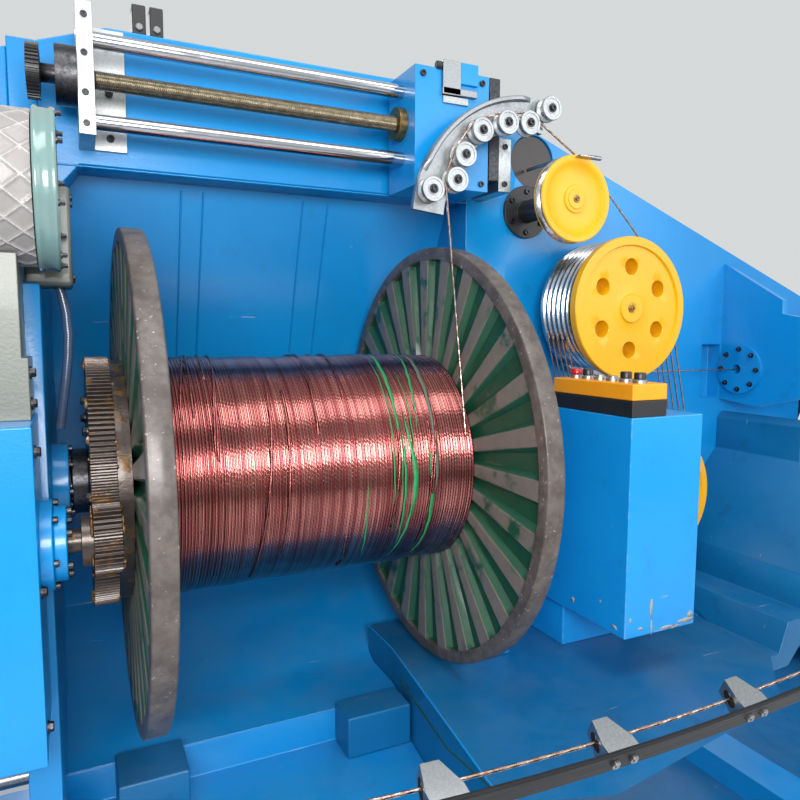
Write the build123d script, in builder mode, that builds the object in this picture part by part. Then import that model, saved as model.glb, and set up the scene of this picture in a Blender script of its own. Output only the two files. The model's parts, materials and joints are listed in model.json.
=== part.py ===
"""Double twist bunching machine for a 1250 mm reel.

Two bows swing round a cradle that stays level and carries the take-up reel, its gear
drive, the traverse with its arc of guide rollers, the pulling capstans and a control cabinet.

All sizes are in millimetres. X runs along the rotor axis, Y towards the back wall of the
cradle and Z up. The origin is on the floor, under the rotor axis, half way along it.
Heights in the cradle are measured from the rotor axis, heights in the base from the floor.
"""
import os
from math import cos, radians, sin, sqrt

from build123d import *

os.makedirs("parts", exist_ok=True)

# Rotor and base
rail_height = 100
floor_clearance = 172
bow_reach = 1300
bow_radius = 6800
bow_thickness = 8
axis_height = rail_height + floor_clearance + bow_reach + bow_thickness
bow_width = 40
bow_angle = 23
bearing_front = 1640
bearing_back = 2140
bearing_radius = 130
arm_offset = 210
arm_x = bearing_back + arm_offset
arm_thickness = 110
arm_root_width = 420
arm_tip_width = 120
shaft_radius = 60
shaft_bore = 20
strand_radius = 3
running_gap = 0.05
moving_gap = 5
seat_gap = 0.3
guide_pitch = 300
guide_first_x = -1918
guide_count = 14
guide_height = 58
guide_length = 30
guide_eye = 36
guide_eye_radius = 9
guide_margin = 2
turn_wheel_radius = 60
turn_wheel_width = 24
turn_wheel_gap = 20
wheel_pin_radius = 8
cheek_width = 15
pulley_radius = 200
pulley_width = 60
pulley_gap = 12
headstock_gap = 25
headstock_length = 340
headstock_foot = 1300
headstock_foot_height = 160
headstock_top = 460
headstock_shoulder = 40
headstock_roof = 230
headstock_roof_width = 300
headstock_hub = 190
hub_step = 12
rail_spread = 620
rail_width = 160
rail_overhang = 60
motor_plate_length = 900
line_shaft_height = 200
line_shaft_radius = 30
line_pulley_radius = 85
pillow_x = 1700
pillow_radius = 70
pillow_width = 80
belt_thickness = 6
belt_margin = 5
belt_slack = 1
motor_y = 1010
motor_radius = 170
motor_length = 470
motor_shaft_radius = 24
motor_shaft_length = 110
motor_foot_gap = 30
anchor_radius = 13

# Cradle walls
wall_front = 90
wall_depth = 100
wall_plate = 25
beam_left = -915
beam_slope_start = -747
beam_right = 360
beam_top = 943
beam_bottom = 584
beam_rear = 230
strip_bottom = 517
strip_right = -876
strip_start = -821
gusset_slope = 0.36
wall_knee_high = (590, -100)
wall_knee_low = (610, -430)
wall_foot = (560, -780)
ledge_rear = 140
ledge_front = -90
ledge_top = -987
trough_floor = -1082
bulkhead_thickness = 65
bulkhead_front = -330
bulkhead_neck = -105
bulkhead_shoulder_low = 400
bulkhead_shoulder_high = 470
bulkhead_lip = 200
member_end_bottom = -243
left_member_bottom = -580
left_member_step = -1250
member_corner_x = 1865
recess_place = (629, 745)
recess_radius = 90
recess_depth = 12
pocket_left = 1505
pocket_right = 1610
pocket_low = -123
pocket_high = 99
pocket_depth = 60
deck_top = -877
deck_left_rear = 43
deck_left_bend = -7
deck_left_lean = 88 / 763
deck_front = [(34, -814), (200, -870), (884, -765), (1105, -573)]
deck_right = 1159
deck_right_bend = -243
deck_left_front = -770
hull_profile = [(1100, -877), (1150, -877), (1190, -780), (1320, -780), (1328, -663), (1609, -337),
                (1612, -207), (1640, -180), (1640, -420), (1380, -760), (1200, -930), (1100, -930)]
hull_front = [(1328, -560), (1609, -290), (1660, -245)]
nose_plate = 25
nose_outline = [(90, 435), (-179, 274), (-182, 221), (-256, 207), (-273, -101), (-94, -147), (90, -129)]
nose_disc_radius = 100
nose_disc_thickness = 15
nose_disc_shift = -10
block_outlines = [(-800, -630, -245), (-186, 15, -203)]
block_height = 122

# Reel
reel_y = -80
reel_z = -227
reel_radius = 625
reel_left = -750
flange_width = 51
flange_plate = 14
rim_depth = 34
rib_count = 28
rib_width_outer = 62
rib_width_inner = 22
wound_length = 812
wound_radius = 306
hub_radius = 120
pintle_radius = 40
pintle_tail = 150
collar_radius = 90
collar_width = 20
tailstock_width = 180
tail_outline = [(90, -100), (-20, -100), (-170, -140), (-200, -280)]

# Reel drive
gear_module = 4
gear_teeth = 153
pinion_teeth = 34
gear_width = 53
drive_disc_radius = 300
drive_disc_width = 31
ring_stack_radius = 80
ring_stack_width = 38
boss_radius = 95
boss_face = -877
pinion_shaft_radius = 25
pinion_shaft_depth = 100
pinion_ring_radius = 52
pinion_ring_width = 22
pinion_flange_radius = 90
pinion_step_radius = 75
pinion_flange_width = 24
pinion_drop_angle = 7.8
drive_box_right = -930
drive_box_left = -1200
drive_box_front = -580
drive_box_rear = -60
drive_box_top = -25
drive_box_bottom = -668

# Take-up motor
take_up_y = -400
take_up_z = 420
take_up_radius = 150
take_up_ring_radius = 158
take_up_face = -872
take_up_ring = 39
take_up_length = 420
fan_lip = 14
fan_depth = 22
gearbox_left = -1160
gearbox_right = -946
gearbox_front = -480
gearbox_rear = -220
gearbox_foot_right = -935
gearbox_foot_top = 94
gearbox_seat = 20
terminal_bottom = 244
terminal_height = 220
terminal_left = -949
terminal_depth = 98

# Traverse
rod_y = -30
rod_radius = 20
rod_high = 860
rod_low = 665
screw_z = 765
screw_radius = 22.5
screw_pulley_radius = 65
screw_pulley_width = 32
screw_overhang = 111
housing_radius = 70
housing_width = 48
bracket_top = 932
bracket_bottom = 622
bracket_front = -75
plate_left = -823
plate_thickness = 38
foot_right = -704
foot_thickness = 12
plate_right = 343
plate_right_thickness = 37
end_plate_thickness = 45
end_plate_bottom = 591
end_plate_top = 755
carriage_left = 60
carriage_length = 250
carriage_bottom = 573
carriage_top = 913
carriage_front = -121
carriage_rear = 60
nut_radius = 48
nut_width = 25
angle_left = 191
angle_width = 64
angle_bottom = 874
angle_top = 970
angle_thickness = 12
sensor_width = 73
sensor_depth = 60
sensor_height = 56
switch_left = -680
switch_width = 35
switch_pitch = 45
switch_height = 76
switch_front = 95
switch_depth = 50
arc_x = 414
arc_z = 449
arc_outer = 397
arc_inner = 300
arc_start = 82
arc_sweep = 92
arc_standoff = 55
arc_plate = 18
standoff_angles = (125, 150)
standoff_length = 60
standoff_height = 36
roller_radius = 35
roller_width = 36
roller_groove = 20
roller_track_radius = 28
roller_pin_radius = 8
roller_gap = 3
roller_offsets = [(-350, 93), (-273, 126), (-247, 198), (-191, 272), (-105, 304), (-28, 312), (49, 364)]
landing_x = 90
landing_angle = 163

# Guide wheel and capstans
wheel_x = 598
wheel_z = 567
wheel_radius = 135
wheel_width = 44
wheel_track_radius = 122
wheel_front = -190
wheel_groove = 26
wheel_bore = 20
mount_radius = 90
mount_thickness = 14
mount_neck_radius = 38
capstan_radius = 240
drum_radius = 234
groove_radius = 225
groove_count = 6
groove_pitch = 25
capstan_disc = 30
capstan_shaft = 35
shaft_depth = 60
dish_rim = 28
dish_depth = 8
dish_boss = 45
lightening_radius = 28
lightening_circle = 140
lightening_count = 6
upper_x = 854
lower_x = 1014
lower_z = -433

# Cabinet
cabinet_left = 540
cabinet_right = 817
cabinet_front = -520
cabinet_clearance = 15
cabinet_rear_right = 640
cabinet_bottom = -734
cabinet_top = -91
console_right = 670
console_rear = -170
console_layer = 47
button_radius = 16
button_height = 28
button_pitch = 55
button_inset = (45, 40)
button_count = 6
plinth_left = 559
plinth_front = -224

# Derived places
strand_track = bow_radius - guide_eye + guide_eye_radius - strand_radius - seat_gap
rear_face = wall_front + wall_depth
terminal_front = take_up_y + take_up_ring_radius
terminal_width = bulkhead_neck - terminal_front
bulkhead_left = beam_left - bulkhead_thickness
arm_inner = arm_x - arm_thickness / 2
pulley_start = arm_x + arm_thickness / 2 + pulley_gap
headstock_start = pulley_start + pulley_width + headstock_gap
rail_end = headstock_start + headstock_length + rail_overhang
motor_belt_x = pulley_start - 2 * (pulley_width + line_pulley_radius / 4)
deck_bottom = trough_floor - wall_plate
gear_right = reel_left - drive_disc_width
gear_left = gear_right - gear_width
gear_pitch_radius = gear_module * gear_teeth / 2
pinion_pitch_radius = gear_module * pinion_teeth / 2
gear_centres = gear_pitch_radius + pinion_pitch_radius
pinion_y = reel_y - gear_centres * cos(radians(pinion_drop_angle))
pinion_z = reel_z - gear_centres * sin(radians(pinion_drop_angle))
right_inner = reel_left + flange_width + wound_length
right_outer = right_inner + flange_width
upper_z = groove_radius + strand_radius + seat_gap
turn_x = arm_inner - turn_wheel_gap - turn_wheel_radius
tip_wheel_height = bow_reach - bow_radius + sqrt((strand_track - turn_wheel_radius) ** 2 - turn_x**2)
arc_rear = carriage_front - arc_standoff
roller_back = arc_rear - arc_plate - roller_gap
strand_plane = roller_back - roller_width / 2
roller_places = [(arc_x + x, arc_z + z) for x, z in roller_offsets]
wheel_plane = wheel_front + wheel_width / 2
drum_front = -groove_count * groove_pitch
drum_rear = groove_pitch * 0.6
front_plane = drum_front - capstan_disc
cabinet_rear = front_plane - cabinet_clearance


def keep(builder, name):
    """Label a finished piece and write its own file."""
    builder.part.label = name
    export_step(builder.part, f"parts/{name}.step")


def floor_right(x):
    """Plane across the rotor axis with heights from the floor; it grows to the right."""
    return Plane.YZ.offset(x)


def facing_right(x):
    """Plane across the rotor axis with heights from the axis; it grows to the right."""
    return Plane(origin=(x, 0, axis_height), x_dir=(0, 1, 0), z_dir=(1, 0, 0))


def facing_front(y):
    """Plane along the rotor axis with heights from the axis; it grows to the front."""
    return Plane(origin=(0, y, axis_height), x_dir=(1, 0, 0), z_dir=(0, -1, 0))


def level(height):
    """Level plane at a height above the rotor axis."""
    return Plane.XY.offset(axis_height + height)


def radial_plane(angle):
    """Plane through the rotor axis and one bow: X along the axis, then outwards to the bow."""
    outward = Vector(0, -cos(radians(angle)), -sin(radians(angle)))
    return Plane(origin=(0, 0, axis_height), x_dir=(1, 0, 0), z_dir=Vector(1, 0, 0).cross(outward))


def bow_height(x):
    """Distance of the bow's inner face from the rotor axis."""
    return bow_reach - bow_radius + sqrt(bow_radius**2 - x**2)


def inside_swing(x, y, height):
    """The place y drawn back to where the swinging guides pass it by the moving gap."""
    limit = bow_height(x) - guide_height - moving_gap
    return max(y, -sqrt(limit**2 - height**2))


def gear_outline(teeth):
    """Points round a spur gear: straight flanks, thinned a little for backlash."""
    root = gear_module * (teeth / 2 - 1.2)
    tip = gear_module * (teeth / 2 + 0.9)
    step = 360 / teeth
    points = []
    for tooth in range(teeth):
        for radius, share in ((root, -0.33), (tip, -0.12), (tip, 0.12), (root, 0.33)):
            angle = radians((tooth + share) * step)
            points.append((radius * cos(angle), radius * sin(angle)))
    return points


# Base frame: two long rails, cross members and the plate under the main motor
with BuildPart() as base_frame:
    for side in (-1, 1):
        with BuildSketch() as rail:
            with Locations((0, side * rail_spread)):
                Rectangle(2 * rail_end, rail_width)
        extrude(amount=rail_height)
    with BuildSketch() as cross_members:
        for x in (-1, -0.5, 0, 0.5, 1):
            with Locations((x * (rail_end - rail_width / 2), 0)):
                Rectangle(rail_width, 2 * rail_spread - rail_width)
    extrude(amount=rail_height)
    with BuildSketch() as motor_plate:
        with Locations(((motor_plate_length / 2 - rail_end), (motor_y + motor_radius + rail_spread) / 2)):
            Rectangle(motor_plate_length, motor_y + motor_radius - rail_spread)
    extrude(amount=rail_height)
    with Locations(*[(x * (rail_end - rail_width / 2), y * rail_spread, rail_height)
                     for x in (-1, 1) for y in (-1, 1)]):
        Hole(radius=anchor_radius)
keep(base_frame, "base_frame")


def make_headstock(side):
    """Welded pedestal with the rotor's outer bearing."""
    start = headstock_start if side > 0 else -headstock_start - headstock_length
    foot_top = rail_height + headstock_foot_height
    waist = axis_height - pulley_radius
    shoulder = axis_height + headstock_shoulder
    roof = axis_height + headstock_roof
    with BuildPart() as headstock:
        with BuildSketch(floor_right(start)) as outline:
            with BuildLine():
                Polyline((-headstock_foot / 2, rail_height), (headstock_foot / 2, rail_height),
                         (headstock_foot / 2, foot_top), (headstock_top / 2, waist),
                         (headstock_top / 2, shoulder), (headstock_roof_width / 2, roof),
                         (-headstock_roof_width / 2, roof),
                         (-headstock_top / 2, shoulder), (-headstock_top / 2, waist),
                         (-headstock_foot / 2, foot_top), close=True)
            make_face()
        extrude(amount=headstock_length)
        with BuildSketch(facing_right(start - hub_step)) as hub:
            Circle(headstock_hub)
        extrude(amount=headstock_length + 2 * hub_step)
        with BuildSketch(facing_right(start - hub_step)) as bore:
            Circle(shaft_radius + running_gap)
        extrude(amount=headstock_length + 2 * hub_step, mode=Mode.SUBTRACT)
    return headstock


keep(make_headstock(-1), "left_headstock")
keep(make_headstock(1), "right_headstock")


def make_flyer(side):
    """Double arm on its hollow shaft, with the belt pulley outside and the strand's turn wheels."""
    inner_end = bearing_front + 2 * moving_gap
    outer_end = headstock_start + headstock_length + hub_step + 2 * moving_gap
    slot_start = bearing_back + moving_gap
    slot_end = arm_inner - 2 * moving_gap
    with BuildPart() as flyer:
        with BuildSketch(radial_plane(bow_angle)) as arm:
            with Locations((side * arm_x, 0)):
                Rectangle(arm_thickness, 2 * bow_reach)
        extrude(amount=arm_root_width / 2, both=True)
        with BuildSketch(Plane(origin=(side * arm_x, 0, axis_height), x_dir=radial_plane(bow_angle).y_dir,
                               z_dir=(1, 0, 0))) as taper:
            with BuildLine():
                Polyline((-bow_reach, -arm_tip_width / 2), (0, -arm_root_width / 2),
                         (bow_reach, -arm_tip_width / 2), (bow_reach, arm_tip_width / 2),
                         (0, arm_root_width / 2), (-bow_reach, arm_tip_width / 2), close=True)
            make_face()
        extrude(amount=arm_thickness, both=True, mode=Mode.INTERSECT)
        with BuildSketch(radial_plane(bow_angle)) as between_bows:
            with Locations((0, bow_reach - bow_radius)):
                Circle(bow_radius)
            with Locations((0, bow_radius - bow_reach)):
                Circle(bow_radius, mode=Mode.INTERSECT)
        extrude(amount=arm_root_width, both=True, mode=Mode.INTERSECT)
        with BuildSketch(facing_right(side * inner_end)) as shaft:
            Circle(shaft_radius)
        extrude(amount=side * (outer_end - inner_end))
        with BuildSketch(facing_right(side * pulley_start)) as pulley:
            Circle(pulley_radius)
        extrude(amount=side * pulley_width)
        with BuildSketch(facing_right(side * inner_end)) as shaft_hole:
            Circle(shaft_bore)
        extrude(amount=side * (outer_end - inner_end), mode=Mode.SUBTRACT)
        with BuildSketch(radial_plane(bow_angle)) as cheeks:
            with Locations((side * turn_x, shaft_radius - 10)):
                Rectangle(turn_wheel_radius, shaft_radius - 10)
        extrude(amount=turn_wheel_width / 2 + cheek_width, both=True)
        with BuildSketch(radial_plane(bow_angle)) as strand_slot:
            with Locations((side * (slot_start + slot_end) / 2, shaft_radius / 2)):
                Rectangle(slot_end - slot_start, 2 * shaft_radius)
        extrude(amount=turn_wheel_width / 2 + 3, both=True, mode=Mode.SUBTRACT)
        with BuildSketch(radial_plane(bow_angle)) as pin_hole:
            with Locations((side * turn_x, turn_wheel_radius)):
                Circle(wheel_pin_radius)
        extrude(amount=turn_wheel_width / 2 + cheek_width, both=True, mode=Mode.SUBTRACT)
    return flyer


keep(make_flyer(-1), "left_flyer")
keep(make_flyer(1), "right_flyer")


def make_bow(angle):
    """Springy band, an arc of one large circle, from arm tip to arm tip."""
    with BuildPart() as bow:
        with BuildSketch(radial_plane(angle)) as band:
            with Locations((0, bow_reach - bow_radius)):
                Circle(bow_radius + bow_thickness)
                Circle(bow_radius, mode=Mode.SUBTRACT)
            with Locations((0, bow_reach)):
                Rectangle(2 * arm_x + arm_thickness, 2 * bow_reach, mode=Mode.INTERSECT)
        extrude(amount=bow_width / 2, both=True)
    return bow


keep(make_bow(bow_angle), "bow_with_strand")
keep(make_bow(bow_angle + 180), "balance_bow")

# Strand guides: cast blocks on the bows' inner faces, each with an eye
with BuildPart() as bow_guides:
    for angle in (bow_angle, bow_angle + 180):
        plane = radial_plane(angle)
        for index in range(guide_count):
            x = guide_first_x + index * guide_pitch
            height = bow_height(x)
            with BuildSketch(plane) as block:
                with BuildLine():
                    Polyline((x - guide_length, height), (x + guide_length, height),
                             (x + guide_length / 2, height - guide_height),
                             (x - guide_length / 2, height - guide_height), close=True)
                make_face()
                with Locations((0, bow_reach - bow_radius)):
                    Circle(bow_radius, mode=Mode.INTERSECT)
            extrude(amount=bow_width / 2 - guide_margin, both=True)
        with BuildSketch(plane) as eyes:
            with Locations((0, bow_reach - bow_radius)):
                Circle(bow_radius - guide_eye + guide_eye_radius)
                Circle(bow_radius - guide_eye - guide_eye_radius, mode=Mode.SUBTRACT)
            with Locations((0, bow_reach)):
                Rectangle(2 * turn_x, 2 * bow_reach, mode=Mode.INTERSECT)
        extrude(amount=guide_eye_radius, both=True, mode=Mode.SUBTRACT)
keep(bow_guides, "bow_guides")

# Turn wheels: they lead the strand out of the hollow shaft to the bow and back
with BuildPart() as turn_wheels:
    plane = radial_plane(bow_angle)
    for side in (-1, 1):
        for height in (turn_wheel_radius, tip_wheel_height):
            with BuildSketch(plane) as wheel:
                with Locations((side * turn_x, height)):
                    Circle(turn_wheel_radius - strand_radius - seat_gap)
            extrude(amount=turn_wheel_width / 2, both=True)
        with BuildSketch(plane) as wheel_pin:
            with Locations((side * turn_x, turn_wheel_radius)):
                Circle(wheel_pin_radius)
        extrude(amount=turn_wheel_width / 2 + cheek_width, both=True)
        with BuildSketch(plane) as wheel_arm:
            with Locations((side * (turn_x + arm_inner) / 2, tip_wheel_height)):
                Rectangle(arm_inner - turn_x, 2 * turn_wheel_radius / 3)
        extrude(amount=turn_wheel_width / 2 + cheek_width / 2, both=True)
        with BuildSketch(plane) as strand_room:
            with Locations((side * (turn_x + turn_wheel_radius), tip_wheel_height)):
                Rectangle(4 * strand_radius, turn_wheel_radius)
        extrude(amount=2 * strand_radius, both=True, mode=Mode.SUBTRACT)
keep(turn_wheels, "turn_wheels")

# Strand along the bow through the guides, and from the outer turn wheels in to the shaft
with BuildPart() as bow_strand:
    with BuildSketch(radial_plane(bow_angle)) as strand_arc:
        with Locations((0, bow_reach - bow_radius)):
            Circle(strand_track + strand_radius)
            Circle(strand_track - strand_radius, mode=Mode.SUBTRACT)
        with Locations((0, bow_reach)):
            Rectangle(2 * turn_x * strand_track / (strand_track - turn_wheel_radius), 2 * bow_reach,
                      mode=Mode.INTERSECT)
    extrude(amount=strand_radius, both=True)
    for side in (-1, 1):
        with BuildSketch(radial_plane(bow_angle)) as inward:
            with Locations((side * (turn_x + turn_wheel_radius), (tip_wheel_height + turn_wheel_radius) / 2)):
                Rectangle(2 * strand_radius, tip_wheel_height - turn_wheel_radius)
        extrude(amount=strand_radius, both=True)
keep(bow_strand, "bow_strand")

# Line shaft with its three pulleys and pillow blocks, above the rear rail
line_pulley_starts = (-pulley_start - pulley_width, pulley_start, -motor_belt_x)
with BuildPart() as line_shaft:
    shaft_end = pulley_start + 1.3 * pulley_width
    with BuildSketch(floor_right(-shaft_end)) as line_bar:
        with Locations((rail_spread, line_shaft_height)):
            Circle(line_shaft_radius)
    extrude(amount=2 * shaft_end)
    for start in line_pulley_starts:
        with BuildSketch(floor_right(start)) as line_pulley:
            with Locations((rail_spread, line_shaft_height)):
                Circle(line_pulley_radius)
        extrude(amount=pulley_width)
    for x in (-pillow_x, 0, pillow_x):
        with BuildSketch(floor_right(x - pillow_width / 2)) as pillow:
            with Locations((rail_spread, line_shaft_height)):
                Circle(pillow_radius)
            with Locations((rail_spread, (rail_height + line_shaft_height) / 2)):
                Rectangle(2 * pillow_radius, line_shaft_height - rail_height)
        extrude(amount=pillow_width)
keep(line_shaft, "line_shaft")

# Belts: from the line shaft up to both rotor pulleys, and from the motor to the line shaft
motor_z = rail_height + motor_radius + motor_foot_gap
rotor_pulley_place = (0, axis_height, pulley_radius + belt_slack)
line_pulley_place = (rail_spread, line_shaft_height, line_pulley_radius)
motor_pulley_place = (motor_y, motor_z, line_pulley_radius)
belt_runs = list(zip(line_pulley_starts, (rotor_pulley_place, rotor_pulley_place, motor_pulley_place)))
with BuildPart() as drive_belts:
    for layer, mode in ((belt_thickness, Mode.ADD), (0, Mode.SUBTRACT)):
        for start, driven in belt_runs:
            with BuildSketch(floor_right(start + belt_margin)) as belt_side:
                for y, z, radius in (driven, line_pulley_place):
                    with Locations((y, z)):
                        Circle(radius + layer)
                make_hull()
            extrude(amount=pulley_width - 2 * belt_margin, mode=mode)
keep(drive_belts, "drive_belts")

# Main motor on its foot, behind the left headstock
with BuildPart() as main_motor:
    motor_start = motor_shaft_length - pulley_start - motor_length
    foot_top = motor_z - 0.7 * motor_radius
    with BuildSketch(floor_right(motor_start)) as frame_outline:
        with Locations((motor_y, motor_z)):
            Circle(motor_radius)
        with Locations((motor_y, (rail_height + foot_top) / 2)):
            Rectangle(2 * motor_radius, foot_top - rail_height)
        with Locations((motor_y, motor_z - 0.55 * motor_radius)):
            Rectangle(1.2 * motor_radius, 1.1 * motor_radius)
    extrude(amount=motor_length)
    with BuildSketch(floor_right(motor_start)) as output_shaft:
        with Locations((motor_y, motor_z)):
            Circle(motor_shaft_radius)
    extrude(amount=-motor_belt_x + pulley_width - motor_start)
    with BuildSketch(floor_right(-motor_belt_x)) as motor_pulley:
        with Locations((motor_y, motor_z)):
            Circle(line_pulley_radius)
    extrude(amount=pulley_width)
keep(main_motor, "main_motor")

# Rear wall: one folded plate from the top beam down behind the reel to the trough floor
trough_right = inside_swing(0, 2 * wall_foot[1], deck_bottom)
trough_left = inside_swing(bulkhead_left, 2 * wall_foot[1], deck_bottom)
wall_profile = [(beam_rear, beam_bottom), wall_knee_high, wall_knee_low, wall_foot, (ledge_rear, ledge_top),
                (ledge_front, ledge_top), (ledge_front, trough_floor)]
deck_left_low = deck_left_rear + deck_left_lean * (trough_right - deck_left_bend)
deck_left_edge = deck_left_rear + deck_left_lean * (deck_left_front - deck_left_bend)
with BuildPart() as rear_wall:
    with BuildSketch(facing_right(bulkhead_left)) as folded_plate:
        with BuildLine():
            Polyline((beam_rear, beam_bottom + wall_plate), *wall_profile, (trough_right, trough_floor))
            offset(amount=wall_plate, side=Side.LEFT, kind=Kind.INTERSECTION)
        make_face()
    extrude(amount=beam_right + wall_plate - bulkhead_left)
    with BuildSketch(level(deck_bottom)) as room_for_deck:
        with BuildLine():
            Polyline((bulkhead_left, trough_left), (deck_left_low, trough_right),
                     (deck_left_rear, deck_left_bend), (deck_left_rear, rear_face),
                     (beam_right + 2 * wall_plate, rear_face), (beam_right + 2 * wall_plate, 2 * trough_right),
                     (bulkhead_left, 2 * trough_right), close=True)
        make_face()
    extrude(amount=deck_top - deck_bottom, mode=Mode.SUBTRACT)
keep(rear_wall, "rear_wall")

# Low blocks at both ends of the trough, against its riser
with BuildPart() as trough_blocks:
    with BuildSketch(level(trough_floor)) as block_plan:
        for left, right, front in block_outlines:
            with BuildLine():
                Polyline((left, ledge_front), (left, front), (right, front), (right, ledge_front), close=True)
            make_face()
    extrude(amount=block_height)
keep(trough_blocks, "trough_blocks")

# Top beam: closed box along the top, its lower left corner cut, with a strip down to the drive
beam_left_top = beam_top - gusset_slope * (beam_slope_start - beam_left)
with BuildPart() as top_beam:
    with BuildSketch(facing_front(beam_rear)) as beam_face:
        with BuildLine():
            Polyline((beam_slope_start, beam_top), (beam_right, beam_top), (beam_right, beam_bottom),
                     (strip_start, beam_bottom), (strip_right, strip_bottom), (beam_left, strip_bottom),
                     (beam_left, beam_left_top), close=True)
        make_face()
    extrude(amount=beam_rear - wall_front)
keep(top_beam, "top_beam")

# Two limit switches on the beam
with BuildPart() as limit_switches:
    with BuildSketch(level(beam_top)) as switch_plan:
        for left in (switch_left, switch_left + switch_pitch):
            with Locations((left, switch_front)):
                Rectangle(switch_width, switch_depth, align=(Align.MIN, Align.MIN))
    extrude(amount=switch_height)
keep(limit_switches, "limit_switches")

# Left bulkhead: carries the reel's left pintle, the drive box and the take-up motor
with BuildPart() as left_bulkhead:
    with BuildSketch(facing_right(bulkhead_left)) as bulkhead_face:
        with BuildLine():
            Polyline((wall_front, beam_left_top), (beam_rear, beam_left_top), *wall_profile,
                     (trough_left, trough_floor), (trough_left, trough_floor + bulkhead_lip),
                     (bulkhead_front, drive_box_bottom), (bulkhead_front, terminal_bottom),
                     (bulkhead_neck, terminal_bottom), (bulkhead_neck, bulkhead_shoulder_low),
                     (wall_front, bulkhead_shoulder_high), close=True)
        make_face()
    extrude(amount=bulkhead_thickness)
    with BuildSketch(facing_right(beam_left)) as boss:
        with Locations((reel_y, reel_z)):
            Circle(boss_radius)
    extrude(amount=boss_face - beam_left)
    with BuildSketch(facing_right(bulkhead_left)) as pintle_bore:
        with Locations((reel_y, reel_z)):
            Circle(pintle_radius + running_gap)
    extrude(amount=boss_face - bulkhead_left, mode=Mode.SUBTRACT)
keep(left_bulkhead, "left_bulkhead")

# Side members: deep boxes in line with the beam that reach out to the cradle's bearings
left_member_top = beam_left_top - gusset_slope * bulkhead_thickness
left_end_top = left_member_top - gusset_slope * (bearing_back + bulkhead_left)
with BuildPart() as left_side_member:
    with BuildSketch(facing_front(rear_face)) as left_face:
        with BuildLine():
            Polyline((bulkhead_left, left_member_top), (-bearing_back, left_end_top),
                     (-bearing_back, member_end_bottom), (-bearing_front, member_end_bottom),
                     (left_member_step, left_member_bottom), (bulkhead_left, left_member_bottom), close=True)
        make_face()
    extrude(amount=wall_depth)
keep(left_side_member, "left_side_member")

right_end_top = beam_top - gusset_slope * (bearing_back - beam_right)
foot_share = (rear_face - ledge_rear) / (wall_foot[0] - ledge_rear)
web_foot = ledge_top + (wall_foot[1] - ledge_top) * foot_share
with BuildPart() as right_side_member:
    with BuildSketch(facing_front(rear_face)) as member_face:
        with BuildLine():
            Polyline((beam_right, beam_top), (bearing_back, right_end_top), (bearing_back, member_end_bottom),
                     (member_corner_x, member_end_bottom), *hull_profile[-4:-1], (deck_right, deck_bottom),
                     (beam_right, deck_bottom), close=True)
        make_face()
    extrude(amount=wall_depth)
    with BuildSketch(facing_front(rear_face)) as capstan_bores:
        with Locations((upper_x, upper_z), (lower_x, lower_z)):
            Circle(capstan_shaft + running_gap)
    extrude(amount=wall_depth, mode=Mode.SUBTRACT)
    with BuildSketch(facing_front(wall_front)) as round_recess:
        with Locations(recess_place):
            Circle(recess_radius)
    extrude(amount=-recess_depth, mode=Mode.SUBTRACT)
    with BuildSketch(facing_front(wall_front)) as square_pocket:
        with BuildLine():
            Polyline((pocket_left, pocket_low), (pocket_right, pocket_low), (pocket_right, pocket_high),
                     (pocket_left, pocket_high), close=True)
        make_face()
    extrude(amount=-pocket_depth, mode=Mode.SUBTRACT)
    with BuildSketch(facing_right(beam_right)) as return_web:
        with BuildLine():
            Polyline((rear_face, beam_top), (beam_rear, beam_top), *wall_profile[:4], (rear_face, web_foot),
                     close=True)
        make_face()
    extrude(amount=wall_plate)
keep(right_side_member, "right_side_member")


def deck_plan(height):
    """Outline of the deck at one height, drawn back in front to stay inside the bows' swing."""
    front_y = inside_swing(deck_left_edge, deck_left_front, height)
    left_front = (deck_left_rear + deck_left_lean * (front_y - deck_left_bend), front_y)
    front = [(x, inside_swing(x, y, height)) for x, y in deck_front]
    return [(deck_left_rear, rear_face), (deck_left_rear, deck_left_bend), left_front, *front,
            (deck_right, deck_right_bend), (deck_right, wall_front), (beam_right, wall_front),
            (beam_right, rear_face)]


# Deck: the box beside the reel under the cabinet, its front sloped in under for the bows
with BuildPart() as deck:
    for height in (deck_bottom, deck_top):
        with BuildSketch(level(height)) as deck_outline:
            with BuildLine():
                Polyline(*deck_plan(height), close=True)
            make_face()
    loft(ruled=True)
keep(deck, "deck")

# Hull: the stepped end wall that rises from the deck to the cradle's right bearing
with BuildPart() as hull:
    with BuildSketch(facing_front(wall_front)) as hull_side:
        with BuildLine():
            Polyline(*hull_profile, close=True)
        make_face()
    extrude(amount=wall_front - deck_front[-1][1])
    with BuildSketch(level(deck_bottom)) as hull_plan:
        with BuildLine():
            Polyline((deck_right, wall_front), (deck_right, deck_right_bend), deck_front[-1], *hull_front,
                     (hull_front[-1][0], wall_front), close=True)
        make_face()
    extrude(amount=-deck_bottom, mode=Mode.INTERSECT)
keep(hull, "hull")


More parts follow.
